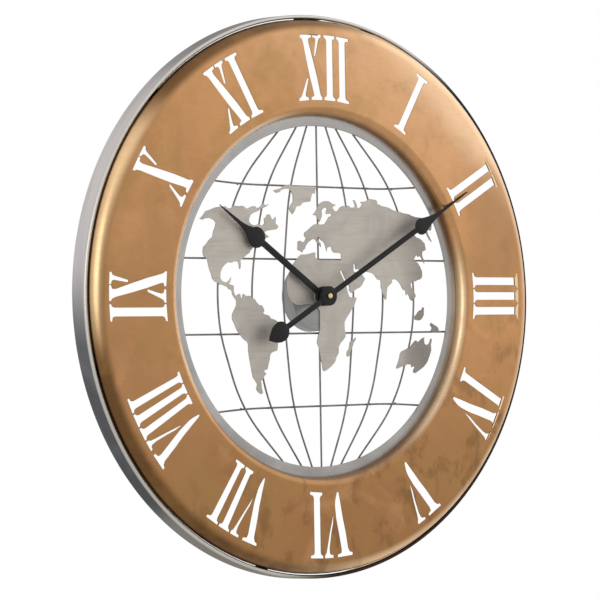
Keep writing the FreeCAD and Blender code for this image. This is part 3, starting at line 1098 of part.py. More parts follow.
# Hanger: a plate welded inside the top of the rim, flush with the wall, with a keyhole.
def build_hanger():
    half = "sizes.hanger_half_width"
    foot = "derived.hanger_height - sizes.keyhole_radius - sizes.hanger_margin"
    # The rim curves towards the corners of the plate's straight top edge.
    top = f"sqrt(derived.rim_at_hanger ^ 2 - {half} ^ 2) - sizes.weld_gap"
    body = doc.addObject("PartDesign::Body", "hanger")
    plate = outline_sketch(body, "XY_Plane", (
        (f"-{half}", foot), (half, foot), (half, top), (f"-{half}", top)))
    pad(body, plate, "sizes.hanger_sheet")
    flange = outline_sketch(body, "XY_Plane", (
        (f"-{half}", f"{top} - sizes.hanger_sheet"), (half, f"{top} - sizes.hanger_sheet"),
        (half, top), (f"-{half}", top)))
    pad(body, flange, "sizes.hanger_flange")
    pocket(body, circle_sketch(body, "XY_Plane", "sizes.keyhole_radius", up="derived.hanger_height"))
    slot_end = "derived.hanger_height + sizes.slot_rise"
    pocket(body, circle_sketch(body, "XY_Plane", "sizes.slot_radius", up=slot_end))
    pocket(body, outline_sketch(body, "XY_Plane", (
        ("-sizes.slot_radius", "derived.hanger_height"), ("sizes.slot_radius", "derived.hanger_height"),
        ("sizes.slot_radius", slot_end), ("-sizes.slot_radius", slot_end))))
    hang(body, "hanger_plate")


build_rim()
build_dial()
build_brackets()
build_globe_ring()
build_wires()
build_lands()
build_cup()
build_case()
build_cover()
build_screws()
build_power()
build_motor()
build_board()
build_train()
build_knob()
build_fixings()
build_hands()
build_hanger()
doc.recompute()

for item in doc.Objects:
    if "Invalid" in item.State or "Error" in item.State:
        raise RuntimeError(f"{item.Label} failed to compute: {item.State}")
for part in nodes:
    if part.Shape.isNull() or not part.Shape.isValid() or part.Shape.Volume <= 0:
        raise RuntimeError(f"{part.Label} has no valid solid")

os.makedirs(OUT_DIR, exist_ok=True)
for part in nodes:
    part.Shape.exportStep(f"{OUT_DIR}/{part.Label}.step")
    print(part.Label, len(part.Shape.Solids), round(part.Shape.Volume, 1))
print(len(nodes), "sub-parts")
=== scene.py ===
import json
import math

import bmesh
import bpy
import numpy as np
from mathutils import Matrix, Vector


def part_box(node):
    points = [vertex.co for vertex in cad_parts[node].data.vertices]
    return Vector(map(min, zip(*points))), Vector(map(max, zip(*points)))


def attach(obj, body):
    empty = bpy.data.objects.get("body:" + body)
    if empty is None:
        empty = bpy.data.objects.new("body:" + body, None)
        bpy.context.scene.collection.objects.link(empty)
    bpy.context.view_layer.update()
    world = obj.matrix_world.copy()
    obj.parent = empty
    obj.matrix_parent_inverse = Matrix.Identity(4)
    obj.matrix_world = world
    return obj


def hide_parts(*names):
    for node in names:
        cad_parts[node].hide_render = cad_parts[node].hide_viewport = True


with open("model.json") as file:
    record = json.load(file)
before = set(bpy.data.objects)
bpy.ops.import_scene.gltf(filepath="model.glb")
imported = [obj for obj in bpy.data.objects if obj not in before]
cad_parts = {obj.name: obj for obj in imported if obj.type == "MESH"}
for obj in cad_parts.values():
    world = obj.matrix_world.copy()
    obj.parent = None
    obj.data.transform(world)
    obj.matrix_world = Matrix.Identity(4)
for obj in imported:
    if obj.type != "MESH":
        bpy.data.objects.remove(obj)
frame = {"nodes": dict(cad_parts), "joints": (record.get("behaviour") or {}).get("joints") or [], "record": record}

bl_info = {
    "name": "World map wall clock",
    "version": (1, 0, 0),
    "blender": (4, 5, 0),
    "location": "View3D > Sidebar > Wall clock",
    "description": "Dresses the packed clock: copper dial, steel rim, wire globe, continents and hands",
    "category": "Object",
}

MM = 0.001
STATIC_BODY = "clock"
CENTRE_X, _, CENTRE_Z = next(j["pos_m"] for j in frame["joints"] if j["name"] == "minute_hand_turn")
NODE_SLOT = {row["node"]: row["material_slot"] for row in frame["record"]["subparts"]}

# Levels above the wall and radii about the clock's axis, in millimetres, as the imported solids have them.
RIM_FOOT, RIM_FRONT, RIM_WALL, RIM_HEIGHT, BEAD = 298.4, 297.2, 1.2, 19.0, 2.0
DIAL_FACE, DIAL_SHEET = 31.3, 1.2
FLAT_INNER, FLAT_OUTER, INNER_ROLL, OUTER_ROLL, DIAL_LIP = 200.0, 278.0, 9.0, 14.4, 19.0
GLOBE, RING_OUTER, RING_BACK, RING_FRONT = 180.0, 194.0, 16.5, 19.0
RING_WALL_INNER, RING_WALL_OUTER, RING_WALL_FOOT = 187.0, 188.2, 12.0
WIRE, WIRE_END, MERIDIAN_LEVEL, LATITUDE_LEVEL = 1.0, 185.9, 15.48, 13.46
CUP_HOLE, CUP_INNER, CUP_OUTER, CUP_FLARE, CUP_FRONT, CASE_FRONT = 4.1, 35.85, 36.45, 1.0, 16.48, 15.9
HOUR_BACK, HOUR_TOP, MINUTE_BACK, MINUTE_TOP, HAND_SHEET = 22.5, 26.0, 32.1, 33.7, 1.0
BOSS, MINUTE_BOSS_DROP, HOUR_BORE, MINUTE_BORE = 10.4, 2.0, 2.78, 1.64
CAP, CAP_TOP = 2.8, 36.1
# For each spade or tail: the middle of its round, its point, and the round's radius.
HOUR_SPADE, HOUR_HALF_WIDTH = (106.0, 163.0, 11.0), 3.6
MINUTE_SPADE, MINUTE_TAIL, MINUTE_HALF_WIDTH = (151.0, 230.0, 9.0), (-74.0, -92.0, 10.6), 3.0
# Degrees clockwise from twelve.
HOUR_TURN, MINUTE_TURN = 305, 60

# Roundings in millimetres, too fine for the solids.
BAND_EDGE, LIP_EDGE, RING_EDGE, BOSS_EDGE, BLADE_EDGE = 0.15, 0.2, 0.35, 0.45, 0.22
CUP_SHOULDER, CUP_LIP_OUTSIDE, CUP_LIP_INSIDE = 0.55, 0.1, 0.2
CAP_DOME, CAP_EDGE, CAP_ROOF = 0.9, 0.15, 1.0
LAND_EDGE, WASHER_EDGE, BRACKET_EDGE, NUT_EDGE = 0.12, 0.15, 0.25, 0.3
# Degrees at which the rounds of the bead, the dial's outer edge and the cup's shoulder end.
BEAD_END, ROLL_END, SHOULDER_END = 293, 2, 4
# A wire's flare at the ring, as a share of its radius, and its length; a weld's height to its width.
WELD_FLARE, WELD_FLARE_LENGTH, WELD_SQUASH = 0.05, 2.0, 0.6
# Millimetres from the edge of the dial's flat to its corners, and metres within which points are merged.
EDGE_MARGIN, MERGE, SEAM_MERGE = 0.02, 1e-6, 2e-5
# Degrees below which faces that meet are shaded as one, and above which a sheet's edge is rounded.
TURNED_SMOOTH, SHEET_SMOOTH, CUT_EDGE = 38, 30, 40
# The most of a side that a rounded corner takes, and the angle in radians that closes a weld's ends.
SIDE_SHARE, WELD_CAP = 0.45, 0.12

# Shares of the globe's radius, as the solids have them.
INNER_LATITUDE, OUTER_LATITUDE, LATITUDE_BOW, LATITUDE_FLAT = 0.217, 0.645, 0.018, 0.53
MERIDIANS = (("inner", 0.267, 0.25, 0.208, 0.058), ("middle", 0.495, 0.475, 0.383, 0.125),
             ("outer", 0.739, 0.72, 0.578, 0.242))
# How much of the shorter run beside it a wire's bend takes up.
BEND = 0.45
# A spade's or tail's half width as a share of its round's radius, at shares of the way to the tip.
SPADE = ((0, 0.98), (0.06, 0.86), (0.13, 0.66), (0.2, 0.49), (0.29, 0.33), (0.4, 0.22), (0.6, 0.15),
         (0.8, 0.1), (1, 0.03))
TAIL = ((0, 0.99), (0.25, 0.94), (0.5, 0.77), (0.75, 0.46), (0.92, 0.18), (1, 0.04))

# The photograph's view: angles, distance in metres, lens and sensor in millimetres, and the point aimed at
# from the clock's centre.
VIEW_AZIMUTH, VIEW_ELEVATION, VIEW_ROLL = math.radians(-38.07), math.radians(-1.09), math.radians(-0.92)
VIEW_DISTANCE, VIEW_LENS, SENSOR = 2.4876, 142.05, 36.0
VIEW_AIM = Vector((-0.02607, -0.0165, -0.0039))
# Name, place, width and power of each lamp.
LAMPS = (("key", (2.2, -1.1, 0.75), 3.0, 17), ("left", (-2.0, -1.2, 0.1), 1.4, 12),
         ("top", (0.4, -1.0, 1.9), 2.0, 3))
# The surroundings' strength, and the floor's half width and depth below the axis in metres.
SOFT_LIGHT, FLOOR_REACH, FLOOR_DROP = 0.55, 6.0, 1.2


class ClockSettings(bpy.types.PropertyGroup):
    copper: bpy.props.FloatVectorProperty(
        name="Copper", description="Colour of the dial's clean copper", subtype="COLOR", size=3,
        min=0, max=1, default=(0.43, 0.222, 0.096))
    steel: bpy.props.FloatVectorProperty(
        name="Steel", description="Colour of the rolled rim", subtype="COLOR", size=3,
        min=0, max=1, default=(0.43, 0.415, 0.42))
    land: bpy.props.FloatVectorProperty(
        name="Continents", description="Colour of the brushed continents", subtype="COLOR", size=3,
        min=0, max=1, default=(0.465, 0.43, 0.387))
    wire: bpy.props.FloatVectorProperty(
        name="Wires", description="Colour of the globe's wires", subtype="COLOR", size=3,
        min=0, max=1, default=(0.155, 0.148, 0.142))
    hand: bpy.props.FloatVectorProperty(
        name="Hands", description="Colour of the painted hands", subtype="COLOR", size=3,
        min=0, max=1, default=(0.013, 0.013, 0.014))
    edge: bpy.props.FloatProperty(
        name="Edge", description="Rounding of the cut edges of the sheet metal", unit="LENGTH",
        min=0.00005, max=0.0004, default=0.0002)
    weld: bpy.props.FloatProperty(
        name="Weld", description="Radius of a spot weld between two wires", unit="LENGTH",
        min=0.001, max=0.002, default=0.0014)
    steps: bpy.props.IntProperty(
        name="Steps", description="Divisions round each turned piece", min=96, max=720, default=360)


def settings():
    return bpy.context.scene.wall_clock


# Surfaces

def arc(across, level, radius, start, end, steps=14):
    """Points on a circle round (across, level), from one angle to another in degrees, anticlockwise."""
    angle = np.radians(np.linspace(start, end, steps))
    return np.stack([across + radius * np.cos(angle), level + radius * np.sin(angle)], 1)


def softened(corners, setback, steps=4):
    """A closed outline with each corner replaced by a parabola between two points set back from it."""
    corner = np.asarray(corners, float)
    before, after = np.roll(corner, 1, 0) - corner, np.roll(corner, -1, 0) - corner
    back_length, ahead_length = np.linalg.norm(before, axis=1), np.linalg.norm(after, axis=1)
    reach = np.minimum(setback, SIDE_SHARE * np.minimum(back_length, ahead_length))[:, None]
    enter = corner + before / back_length[:, None] * reach
    leave = corner + after / ahead_length[:, None] * reach
    t = np.linspace(0, 1, steps)[None, :, None]
    rounded = (1 - t) ** 2 * enter[:, None] + 2 * t * (1 - t) * corner[:, None] + t ** 2 * leave[:, None]
    return rounded.reshape(-1, 2)


def grid_faces(rows, columns, rows_close=False, columns_close=False):
    """Quads between neighbouring lines of a grid; a closed direction joins its last line to its first."""
    i, j = np.meshgrid(np.arange(rows if rows_close else rows - 1),
                       np.arange(columns if columns_close else columns - 1), indexing="ij")
    below, beside = (i + 1) % rows, (j + 1) % columns
    return np.stack([i * columns + j, i * columns + beside, below * columns + beside, below * columns + j],
                    -1).reshape(-1, 4)


def capped(points):
    """A grid of points that closes across, as a shell: its points, and its faces with both ends closed."""
    rows, columns, _ = points.shape
    faces = grid_faces(rows, columns, False, True).tolist()
    faces += [list(range(columns)), list(range((rows - 1) * columns, rows * columns))]
    return points.reshape(-1, 3), faces


def stand(across, up, level):
    """Dial coordinates in millimetres to the row frame: right, into the wall, up."""
    return np.stack([CENTRE_X + across * MM, -level * MM, CENTRE_Z + up * MM], -1)


def turned(outline, turns=None):
    """A closed outline of (radius, level) carried round the clock's axis: the point at turn t and outline
    place s is (radius(s) sin t, radius(s) cos t, level(s))."""
    outline = np.asarray(outline, float)
    steps = settings().steps
    turn = np.linspace(0, math.tau, steps, endpoint=False)[:, None] if turns is None else turns[:, None]
    radius, level = outline[None, :, 0], outline[None, :, 1]
    points = stand(radius * np.sin(turn), radius * np.cos(turn), level + 0 * turn)
    return points.reshape(-1, 3), grid_faces(turn.shape[0], outline.shape[0], True, True).tolist()


def tube(line, radius, level, sides=14):
    """A round wire along a flat line: the point at angle a round line place s is
    line(s) + radius(s) (cos a side(s) + sin a front). The radius may change along the line."""
    along = np.gradient(line, axis=0)
    along /= np.linalg.norm(along, axis=1)[:, None]
    side = np.stack([-along[:, 1], along[:, 0]], 1)
    angle = np.linspace(0, math.tau, sides, endpoint=False)
    wide = np.broadcast_to(radius, len(line))[:, None]
    flat = line[:, None] + side[:, None] * (wide * np.cos(angle))[..., None]
    return capped(stand(flat[..., 0], flat[..., 1], level + wide * np.sin(angle)))


def droplets(centres, level, radius, squash):
    """Small round beads: each is centre + radius (sin p cos q, sin p sin q, squash cos p)."""
    p, q = np.linspace(WELD_CAP, math.pi - WELD_CAP, 7), np.linspace(0, math.tau, 8, endpoint=False)
    shape = np.stack([np.outer(np.sin(p), np.cos(q)), np.outer(np.sin(p), np.sin(q)),
                      np.outer(np.cos(p), np.ones_like(q)) * squash], -1) * radius
    return [capped(stand(across + shape[..., 0], up + shape[..., 1], level + shape[..., 2]))
            for across, up in centres]


def blade(stations, half_width, back, degrees):
    """A flat bar with rounded edges along a hand: at station s its section is a rectangle of
    half_width(s) by the sheet's thickness, each corner a quarter circle. degrees is clockwise from twelve."""
    quarter = np.radians(np.linspace(0, 90, 4))
    angle = np.concatenate([quarter, quarter + math.pi / 2, quarter + math.pi, quarter + 1.5 * math.pi])
    right, front = np.repeat([1, -1, -1, 1], 4), np.repeat([1, 1, -1, -1], 4)
    round_off = np.minimum(BLADE_EDGE, 0.5 * half_width)[:, None]
    half = HAND_SHEET / 2
    across = right * (half_width[:, None] - round_off) + round_off * np.cos(angle)
    level = back + half + front * (half - round_off) + round_off * np.sin(angle)
    along = np.broadcast_to(stations[:, None], across.shape)
    turn = math.radians(degrees)
    return capped(stand(across * math.cos(turn) + along * math.sin(turn),
                        along * math.cos(turn) - across * math.sin(turn), level))


def leaf_width(stations, middle, tip, radius, shares):
    """Half width of a round with a point drawn out of it: the circle's chord, or the smoothed table."""
    share, width = np.array(shares).T
    way = (stations - middle) / (tip - middle)
    slope = np.gradient(width, share)
    index = np.clip(np.searchsorted(share, way, "right") - 1, 0, len(share) - 2)
    span = share[index + 1] - share[index]
    t = np.clip((way - share[index]) / span, 0, 1)
    curve = ((2 * t ** 3 - 3 * t ** 2 + 1) * width[index] + (t ** 3 - 2 * t ** 2 + t) * span * slope[index]
             + (3 * t ** 2 - 2 * t ** 3) * width[index + 1] + (t ** 3 - t ** 2) * span * slope[index + 1])
    curve = np.where((way >= 0) & (way <= 1), curve * radius, 0)
    return np.maximum(curve, np.sqrt(np.clip(radius ** 2 - (stations - middle) ** 2, 0, None)))


def bent_line(points, spacing=1.5):
    """Straight runs joined by tangent arcs, as places about spacing millimetres apart."""
    route = np.array(points, float)
    line = [route[0]]
    for before, corner, after in zip(route, route[1:], route[2:]):
        back, ahead = before - corner, after - corner
        reach = BEND * min(np.linalg.norm(back), np.linalg.norm(ahead))
        back, ahead = back / np.linalg.norm(back), ahead / np.linalg.norm(ahead)
        half_turn = (math.pi - math.acos(np.clip(back @ ahead, -1, 1))) / 2
        radius = reach / math.tan(half_turn)
        inward = (back + ahead) / np.linalg.norm(back + ahead)
        centre = corner + inward * radius / math.cos(half_turn)
        sweep = np.linspace(-half_turn, half_turn, 9)
        # From the bend's middle outwards, towards the run ahead for positive angles.
        crossing = ahead - inward * (ahead @ inward)
        crossing /= np.linalg.norm(crossing)
        line += list(centre - inward * radius * np.cos(sweep)[:, None]
                     + crossing * radius * np.sin(sweep)[:, None])
    line.append(route[-1])
    line = np.array(line)
    length = np.concatenate([[0], np.cumsum(np.linalg.norm(np.diff(line, axis=0), axis=1))])
    places = np.linspace(0, length[-1], max(8, int(length[-1] / spacing)))
    return np.stack([np.interp(places, length, line[:, 0]), np.interp(places, length, line[:, 1])], 1)


# Pieces

def clean(mesh, keep=None, extra=()):
    """Merge doubled points and turn all faces outwards. Faces that keep refuses are dropped, and extra
    shells join on."""
    editable = bmesh.new()
    editable.from_mesh(mesh)
    bmesh.ops.remove_doubles(editable, verts=editable.verts, dist=MERGE)
    if keep:
        dropped = [face for face in editable.faces if not keep(face)]
        bmesh.ops.delete(editable, geom=dropped, context="FACES")
    for points, faces in extra:
        corners = [editable.verts.new(point) for point in points.tolist()]
        for face in faces:
            editable.faces.new([corners[index] for index in face])
    if extra:
        bmesh.ops.remove_doubles(editable, verts=editable.verts, dist=SEAM_MERGE)
    bmesh.ops.recalc_face_normals(editable, faces=editable.faces)
    editable.to_mesh(mesh)
    editable.free()


def new_piece(name, shells, nodes, body=STATIC_BODY, slot=None):
    """One object from closed shells, faces outwards, that stands for its CAD nodes."""
    points, faces, first = [], [], 0
    for shell_points, shell_faces in shells:
        points.append(shell_points)
        faces += [[index + first for index in face] for face in shell_faces]
        first += len(shell_points)
    mesh = bpy.data.meshes.new(name)
    mesh.from_pydata(np.concatenate(points).tolist(), [], faces)
    clean(mesh)
    placed(name, mesh, nodes, body, TURNED_SMOOTH, slot)


def placed(name, mesh, nodes, body, sharp, slot=None):
    """Shade a mesh smooth between its sharp edges, give it its slot's finish, and ride it on its body."""
    mesh.polygons.foreach_set("use_smooth", np.ones(len(mesh.polygons), bool))
    mesh.set_sharp_from_angle(angle=math.radians(sharp))
    mesh.materials.clear()
    mesh.materials.append(bpy.data.materials[(slot or NODE_SLOT[nodes[0]]) + "_finish"])
    piece = bpy.data.objects.new(name, mesh)
    bpy.context.scene.collection.objects.link(piece)
    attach(piece, body)
    if nodes:
        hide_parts(*nodes)
    return piece


def cut_sheet(name, node, keep=None, extra=(), width=None):
    """A cleaned copy of a CAD sheet with its cut edges rounded, by width millimetres if given."""
    mesh = frame["nodes"][node].data.copy()
    mesh.name = name
    clean(mesh, keep, extra)
    piece = placed(name, mesh, [node], STATIC_BODY, SHEET_SMOOTH)
    bevel = piece.modifiers.new("edges", "BEVEL")
    bevel.width, bevel.segments = width * MM if width else settings().edge, 2
    bevel.limit_method, bevel.angle_limit = "ANGLE", math.radians(CUT_EDGE)
    bevel.use_clamp_overlap = False
    normals = piece.modifiers.new("normals", "WEIGHTED_NORMAL")
    normals.keep_sharp = True


# Finishes

# Tints in linear light, each named for what it stands for on the metal; many of them are painted light and shade.
COPPER = {
    "pale": (0.58, 0.36, 0.205), "brown": (0.29, 0.142, 0.055), "olive": (0.33, 0.195, 0.070),
    "rosy": (0.56, 0.31, 0.15), "patina": (0.185, 0.100, 0.040), "smear": (0.31, 0.15, 0.06),
    "rubbed_and_sheen": (0.80, 0.545, 0.32), "dull": (0.08, 0.04, 0.014), "dull brown": (0.17, 0.088, 0.03),
    "sheen": (1.0, 0.97, 0.92), "golden": (0.95, 0.68, 0.38), "lit": (0.70, 0.475, 0.30),
    "shaded": (0.23, 0.125, 0.06), "crevice_shade": (0.014, 0.010, 0.007), "brushed": (0.26, 0.13, 0.055),
    "inner left": (0.92, 0.72, 0.54), "inner low": (0.27, 0.17, 0.105), "inner right": (0.95, 0.74, 0.49),
    "burnt edge": (0.105, 0.056, 0.026), "bright edge": (0.70, 0.46, 0.27)}
STEEL = {
    "bright": (0.68, 0.64, 0.62), "painted_dark_low_left": (0.088, 0.092, 0.098), "greenish": (0.235, 0.225, 0.165),
    "shaded": (0.20, 0.19, 0.18), "pale bead": (0.56, 0.53, 0.48), "brown bead": (0.036, 0.024, 0.017),
    "dark foot": (0.045, 0.03, 0.02), "copper_reflection": (0.95, 0.66, 0.38), "rubbed_and_sheen": (0.66, 0.64, 0.63)}


class Value:
    """A socket that carries a number; arithmetic on it adds Math nodes, and | gives the larger."""

    def __init__(self, tree, socket):
        self.tree, self.socket = tree, socket

    def math(self, operation, first, second):
        node = self.tree.nodes.new("ShaderNodeMath")
        node.operation = operation
        for place, item in enumerate((first, second)):
            if isinstance(item, Value):
                self.tree.links.new(item.socket, node.inputs[place])
            else:
                node.inputs[place].default_value = item
        return Value(self.tree, node.outputs[0])

    def __add__(self, other):
        return self.math("ADD", self, other)

    def __radd__(self, other):
        return self.math("ADD", other, self)

    def __sub__(self, other):
        return self.math("SUBTRACT", self, other)

    def __rsub__(self, other):
        return self.math("SUBTRACT", other, self)

    def __mul__(self, other):
        return self.math("MULTIPLY", self, other)

    def __neg__(self):
        return self * -1

    def __pow__(self, other):
        return self.math("POWER", self, other)

    def __or__(self, other):
        return self.math("MAXIMUM", self, other)


class Nodes:
    """The nodes of a material or a world, cleared."""

    def __init__(self, owner):
        owner.use_nodes = True
        self.tree = owner.node_tree
        self.tree.nodes.clear()

    def node(self, kind, options=None, sockets=None):
        """Add a node: first its settings, then the values or links of its sockets."""
        made = self.tree.nodes.new(kind)
        for key, value in (options or {}).items():
            setattr(made, key, value)
        for key, value in (sockets or {}).items():
            if isinstance(value, Value):
                value = value.socket
            if isinstance(value, bpy.types.NodeSocket):
                self.tree.links.new(value, made.inputs[key])
            else:
                made.inputs[key].default_value = value
        return made

    def value(self, socket):
        return Value(self.tree, socket)


class Finish(Nodes):
    """One procedural material. Coordinates are the object's own, in metres."""

    def __init__(self, slot):
        self.material = bpy.data.materials.new(slot + "_finish")
        super().__init__(self.material)
        self.object = self.node("ShaderNodeTexCoord").outputs["Object"]
        self.place = self.scaled(1, 1, 1)

    def scaled(self, x, y, z):
        """Object coordinates from the clock's axis, stretched: fewer repeats per metre along one way."""
        centred = self.node("ShaderNodeVectorMath", {"operation": "SUBTRACT"},
                            {0: self.object, 1: (CENTRE_X, 0, CENTRE_Z)}).outputs[0]
        return self.node("ShaderNodeVectorMath", {"operation": "MULTIPLY"},
                         {0: centred, 1: (x, y, z)}).outputs[0]

    def parts(self):
        """Across, depth and up from the clock's axis, and the radius."""
        split = self.node("ShaderNodeSeparateXYZ", None, {0: self.place}).outputs
        across, depth, up = (self.value(socket) for socket in split)
        return across, depth, up, (across * across + up * up) ** 0.5

    def noise(self, vector, scale, detail=4.0, roughness=0.55, distortion=0.0):
        """Clouds from 0 to 1, scale to the metre."""
        made = self.node("ShaderNodeTexNoise", {"noise_dimensions": "3D"}, {
            "Vector": vector, "Scale": scale, "Detail": detail, "Roughness": roughness,
            "Distortion": distortion})
        return self.value(made.outputs[0])

    def turning(self, radius, depth, per_metre):
        """Fine lines round the clock's axis."""
        where = self.node("ShaderNodeCombineXYZ", None, {0: radius * per_metre, 1: depth * per_metre, 2: 0.0})
        return self.noise(where.outputs[0], 1, 4, 0.6)

    def ramp(self, value, low, high, to_low=0.0, to_high=1.0):
        """Smooth step from one level to another as the value goes from low to high."""
        made = self.node("ShaderNodeMapRange", {"interpolation_type": "SMOOTHSTEP"}, {
            "Value": value, "From Min": low, "From Max": high, "To Min": to_low, "To Max": to_high})
        return self.value(made.outputs[0])

    def mix(self, factor, first, second):
        """A colour between two colours."""
        def colour(item):
            return (*item, 1) if isinstance(item, tuple) else item
        return self.node("ShaderNodeMix", {"data_type": "RGBA"},
                         {0: factor, 6: colour(first), 7: colour(second)}).outputs[2]

    def edge_band(self, radius=0.0004):
        """Nearly 1 on the rounded outer edges, from how far a bevelled normal leans off the surface."""
        leaned = self.node("ShaderNodeBevel", {"samples": 4}, {"Radius": radius}).outputs[0]
        true = self.node("ShaderNodeNewGeometry").outputs["Normal"]
        dot = self.node("ShaderNodeVectorMath", {"operation": "DOT_PRODUCT"}, {0: leaned, 1: true})
        return self.ramp(1 - self.value(dot.outputs["Value"]), 0.02, 0.2)

    def done(self, colour, roughness, height, depth, metallic=1.0, **fixed):
        """The finished material. Its bumps are depth metres high, and fixed names more of its sockets."""
        bump = self.node("ShaderNodeBump", None, {"Strength": 1.0, "Distance": depth, "Height": height})
        sockets = {"Base Color": colour, "Roughness": roughness, "Metallic": metallic,
                   "Normal": bump.outputs[0]}
        sockets.update({key.replace("_", " "): value for key, value in fixed.items()})
        shader = self.node("ShaderNodeBsdfPrincipled", None, sockets)
        self.node("ShaderNodeOutputMaterial", None, {"Surface": shader.outputs[0]})
        return self.material


def shade(colour, factor):
    """A colour made darker or paler, up to white."""
    return tuple(min(1.0, channel * factor) for channel in colour)


def copper_finish(slot, base):
    """Rolled copper: cloudy tone with brown smudges; painted light makes it paler high on the right, with a
    painted glare there, and painted shade makes it browner low down and darker on the right flank. The
    outer roll carries a painted highlight with some wear, golden on the left and whitish high on the right,
    painted dark reflections at the top and low on the left, and painted shade in its crevice by the rim.
    The inner roll has painted highlights on the left and right and painted shade low down. Cut edges are
    browned by heat and paler in places, partly from wear and partly a painted edge glint."""
    f = Finish(slot)
    across, depth, up, radius = f.parts()
    clouds = f.noise(f.place, 7, 5, 0.6, 0.4)
    smears = f.noise(f.place, 20, 5, 0.6, 0.8)
    colour = f.mix(f.ramp(clouds, 0.33, 0.68), shade(base, 0.9), shade(base, 1.12))
    # Painted light: the copper paler high on the right, where the light falls.
    paler = f.ramp(up * 0.92 + across * 0.4, 0.13, 0.28) * f.ramp(smears, 0.3, 0.6, 0.6, 1.0)
    colour = f.mix(paler * 0.65, colour, COPPER["pale"])
    # Painted shade: the copper browner low down, away from the light.
    browner = f.ramp(up * -0.95 + across * 0.1, 0.02, 0.25)
    colour = f.mix(browner * 0.8, colour, COPPER["brown"])
    # Low on the left, where the outer roll gets a painted dark reflection.
    left_low = f.ramp(across * -0.8 - up * 0.55, 0.1, 0.24)
    mottle = f.noise(f.place, 17, 5, 0.6, 0.5)
    colour = f.mix(f.ramp(mottle, 0.46, 0.68, 0, 0.5), colour, COPPER["olive"])
    colour = f.mix(f.ramp(-mottle, -0.46, -0.3, 0, 0.3), colour, COPPER["rosy"])
    patches = f.ramp(f.noise(f.scaled(1.25, 1, 0.8), 30, 5, 0.6, 0.3), 0.5, 0.64)
    patina = patches * (0.12 + f.ramp(up * -0.9 + across * 0.35, 0.06, 0.21) * 0.85)
    colour = f.mix(patina * 0.6, colour, COPPER["patina"])
    colour = f.mix(f.ramp(smears, 0.5, 0.75, 0, 0.35), colour, COPPER["smear"])
    outer, inner = f.ramp(radius, 0.2785, 0.2865), 1 - f.ramp(radius, 0.1935, 0.1988)
    high = f.ramp(up, 0.16, 0.215) * (1 - f.ramp(across, -0.02, 0.1))
    dark_reflection_mask = left_low + high
    # Painted highlight on the outer roll, save at the top and low on the left, with a little wear.
    colour = f.mix(outer * (1 - dark_reflection_mask) * 0.7, colour, COPPER["rubbed_and_sheen"])
    # Painted dark reflection on the outer roll, at the top and low on the left.
    dull = f.mix(f.ramp(mottle, 0.4, 0.65), COPPER["dull"], COPPER["dull brown"])
    colour = f.mix(outer * dark_reflection_mask * 0.84, colour, dull)
    # Painted highlight: a whitish streak on the outer roll high on the right.
    streak = f.ramp(radius, 0.2835, 0.287) * f.ramp(across + up, 0.375, 0.398)
    colour = f.mix(streak * 0.92, colour, COPPER["sheen"])
    # Painted highlight: a golden band on the outer roll on the left.
    glow = f.ramp(radius, 0.2805, 0.2885) * f.ramp(-across, 0.14, 0.25) * f.ramp(up, -0.07, 0.0)
    glow = glow * (1 - f.ramp(up, 0.13, 0.18))
    colour = f.mix(glow * 0.5, colour, COPPER["golden"])
    lit = f.ramp(across * 0.68 + up * 0.73, 0.235, 0.275)
    colour = f.mix(lit * 0.7, colour, COPPER["lit"])
    flank = f.ramp(across, 0.17, 0.23) * f.ramp(up, -0.05, 0.04) * (1 - f.ramp(up, 0.12, 0.165))
    colour = f.mix(flank * (1 - outer) * 0.5, colour, COPPER["shaded"])
    # Painted shade in the crevice between the outer roll and the rim's bead.
    crevice_shade = f.ramp(radius, 0.285, 0.288) * (1 - f.ramp(-depth, 0.0205, 0.0218))
    colour = f.mix(crevice_shade * 0.92, colour, COPPER["crevice_shade"])
    # Painted highlights on the inner roll, left and right, and painted shade on it low down.
    inner_highlight_left = f.ramp(-across, 0.02, 0.1) * f.ramp(up, -0.16, -0.06)
    colour = f.mix(inner * inner_highlight_left * 0.9, colour, COPPER["inner left"])
    colour = f.mix(inner * f.ramp(-up, 0.06, 0.15) * 0.7, colour, COPPER["inner low"])
    inner_highlight_right = f.ramp(across, 0.09, 0.16) * f.ramp(-up, -0.08, 0.0)
    colour = f.mix(inner * inner_highlight_right * 0.5, colour, COPPER["inner right"])
    grain = f.noise(f.place, 1500, 3)
    brushing = f.noise(f.scaled(60, 60, 700), 1, 3)
    colour = f.mix(f.ramp(brushing, 0.3, 0.7, 0, 0.1), colour, COPPER["brushed"])
    # Cut edges browned by heat, and paler in places from wear and a painted edge glint.
    rubbed_and_sheen = f.ramp(f.noise(f.place, 90, 4), 0.55, 0.7)
    edge = f.mix(rubbed_and_sheen, COPPER["burnt edge"], COPPER["bright edge"])
    colour = f.mix(f.edge_band(0.0007) * 0.75, colour, edge)
    roughness = f.ramp(clouds, 0.3, 0.7, 0.28, 0.38) + patina * 0.2 + f.ramp(smears, 0.4, 0.8, 0, 0.08)
    return f.done(colour, roughness, brushing * 0.4 + grain * 0.5 + smears * 1.5, 0.00006)


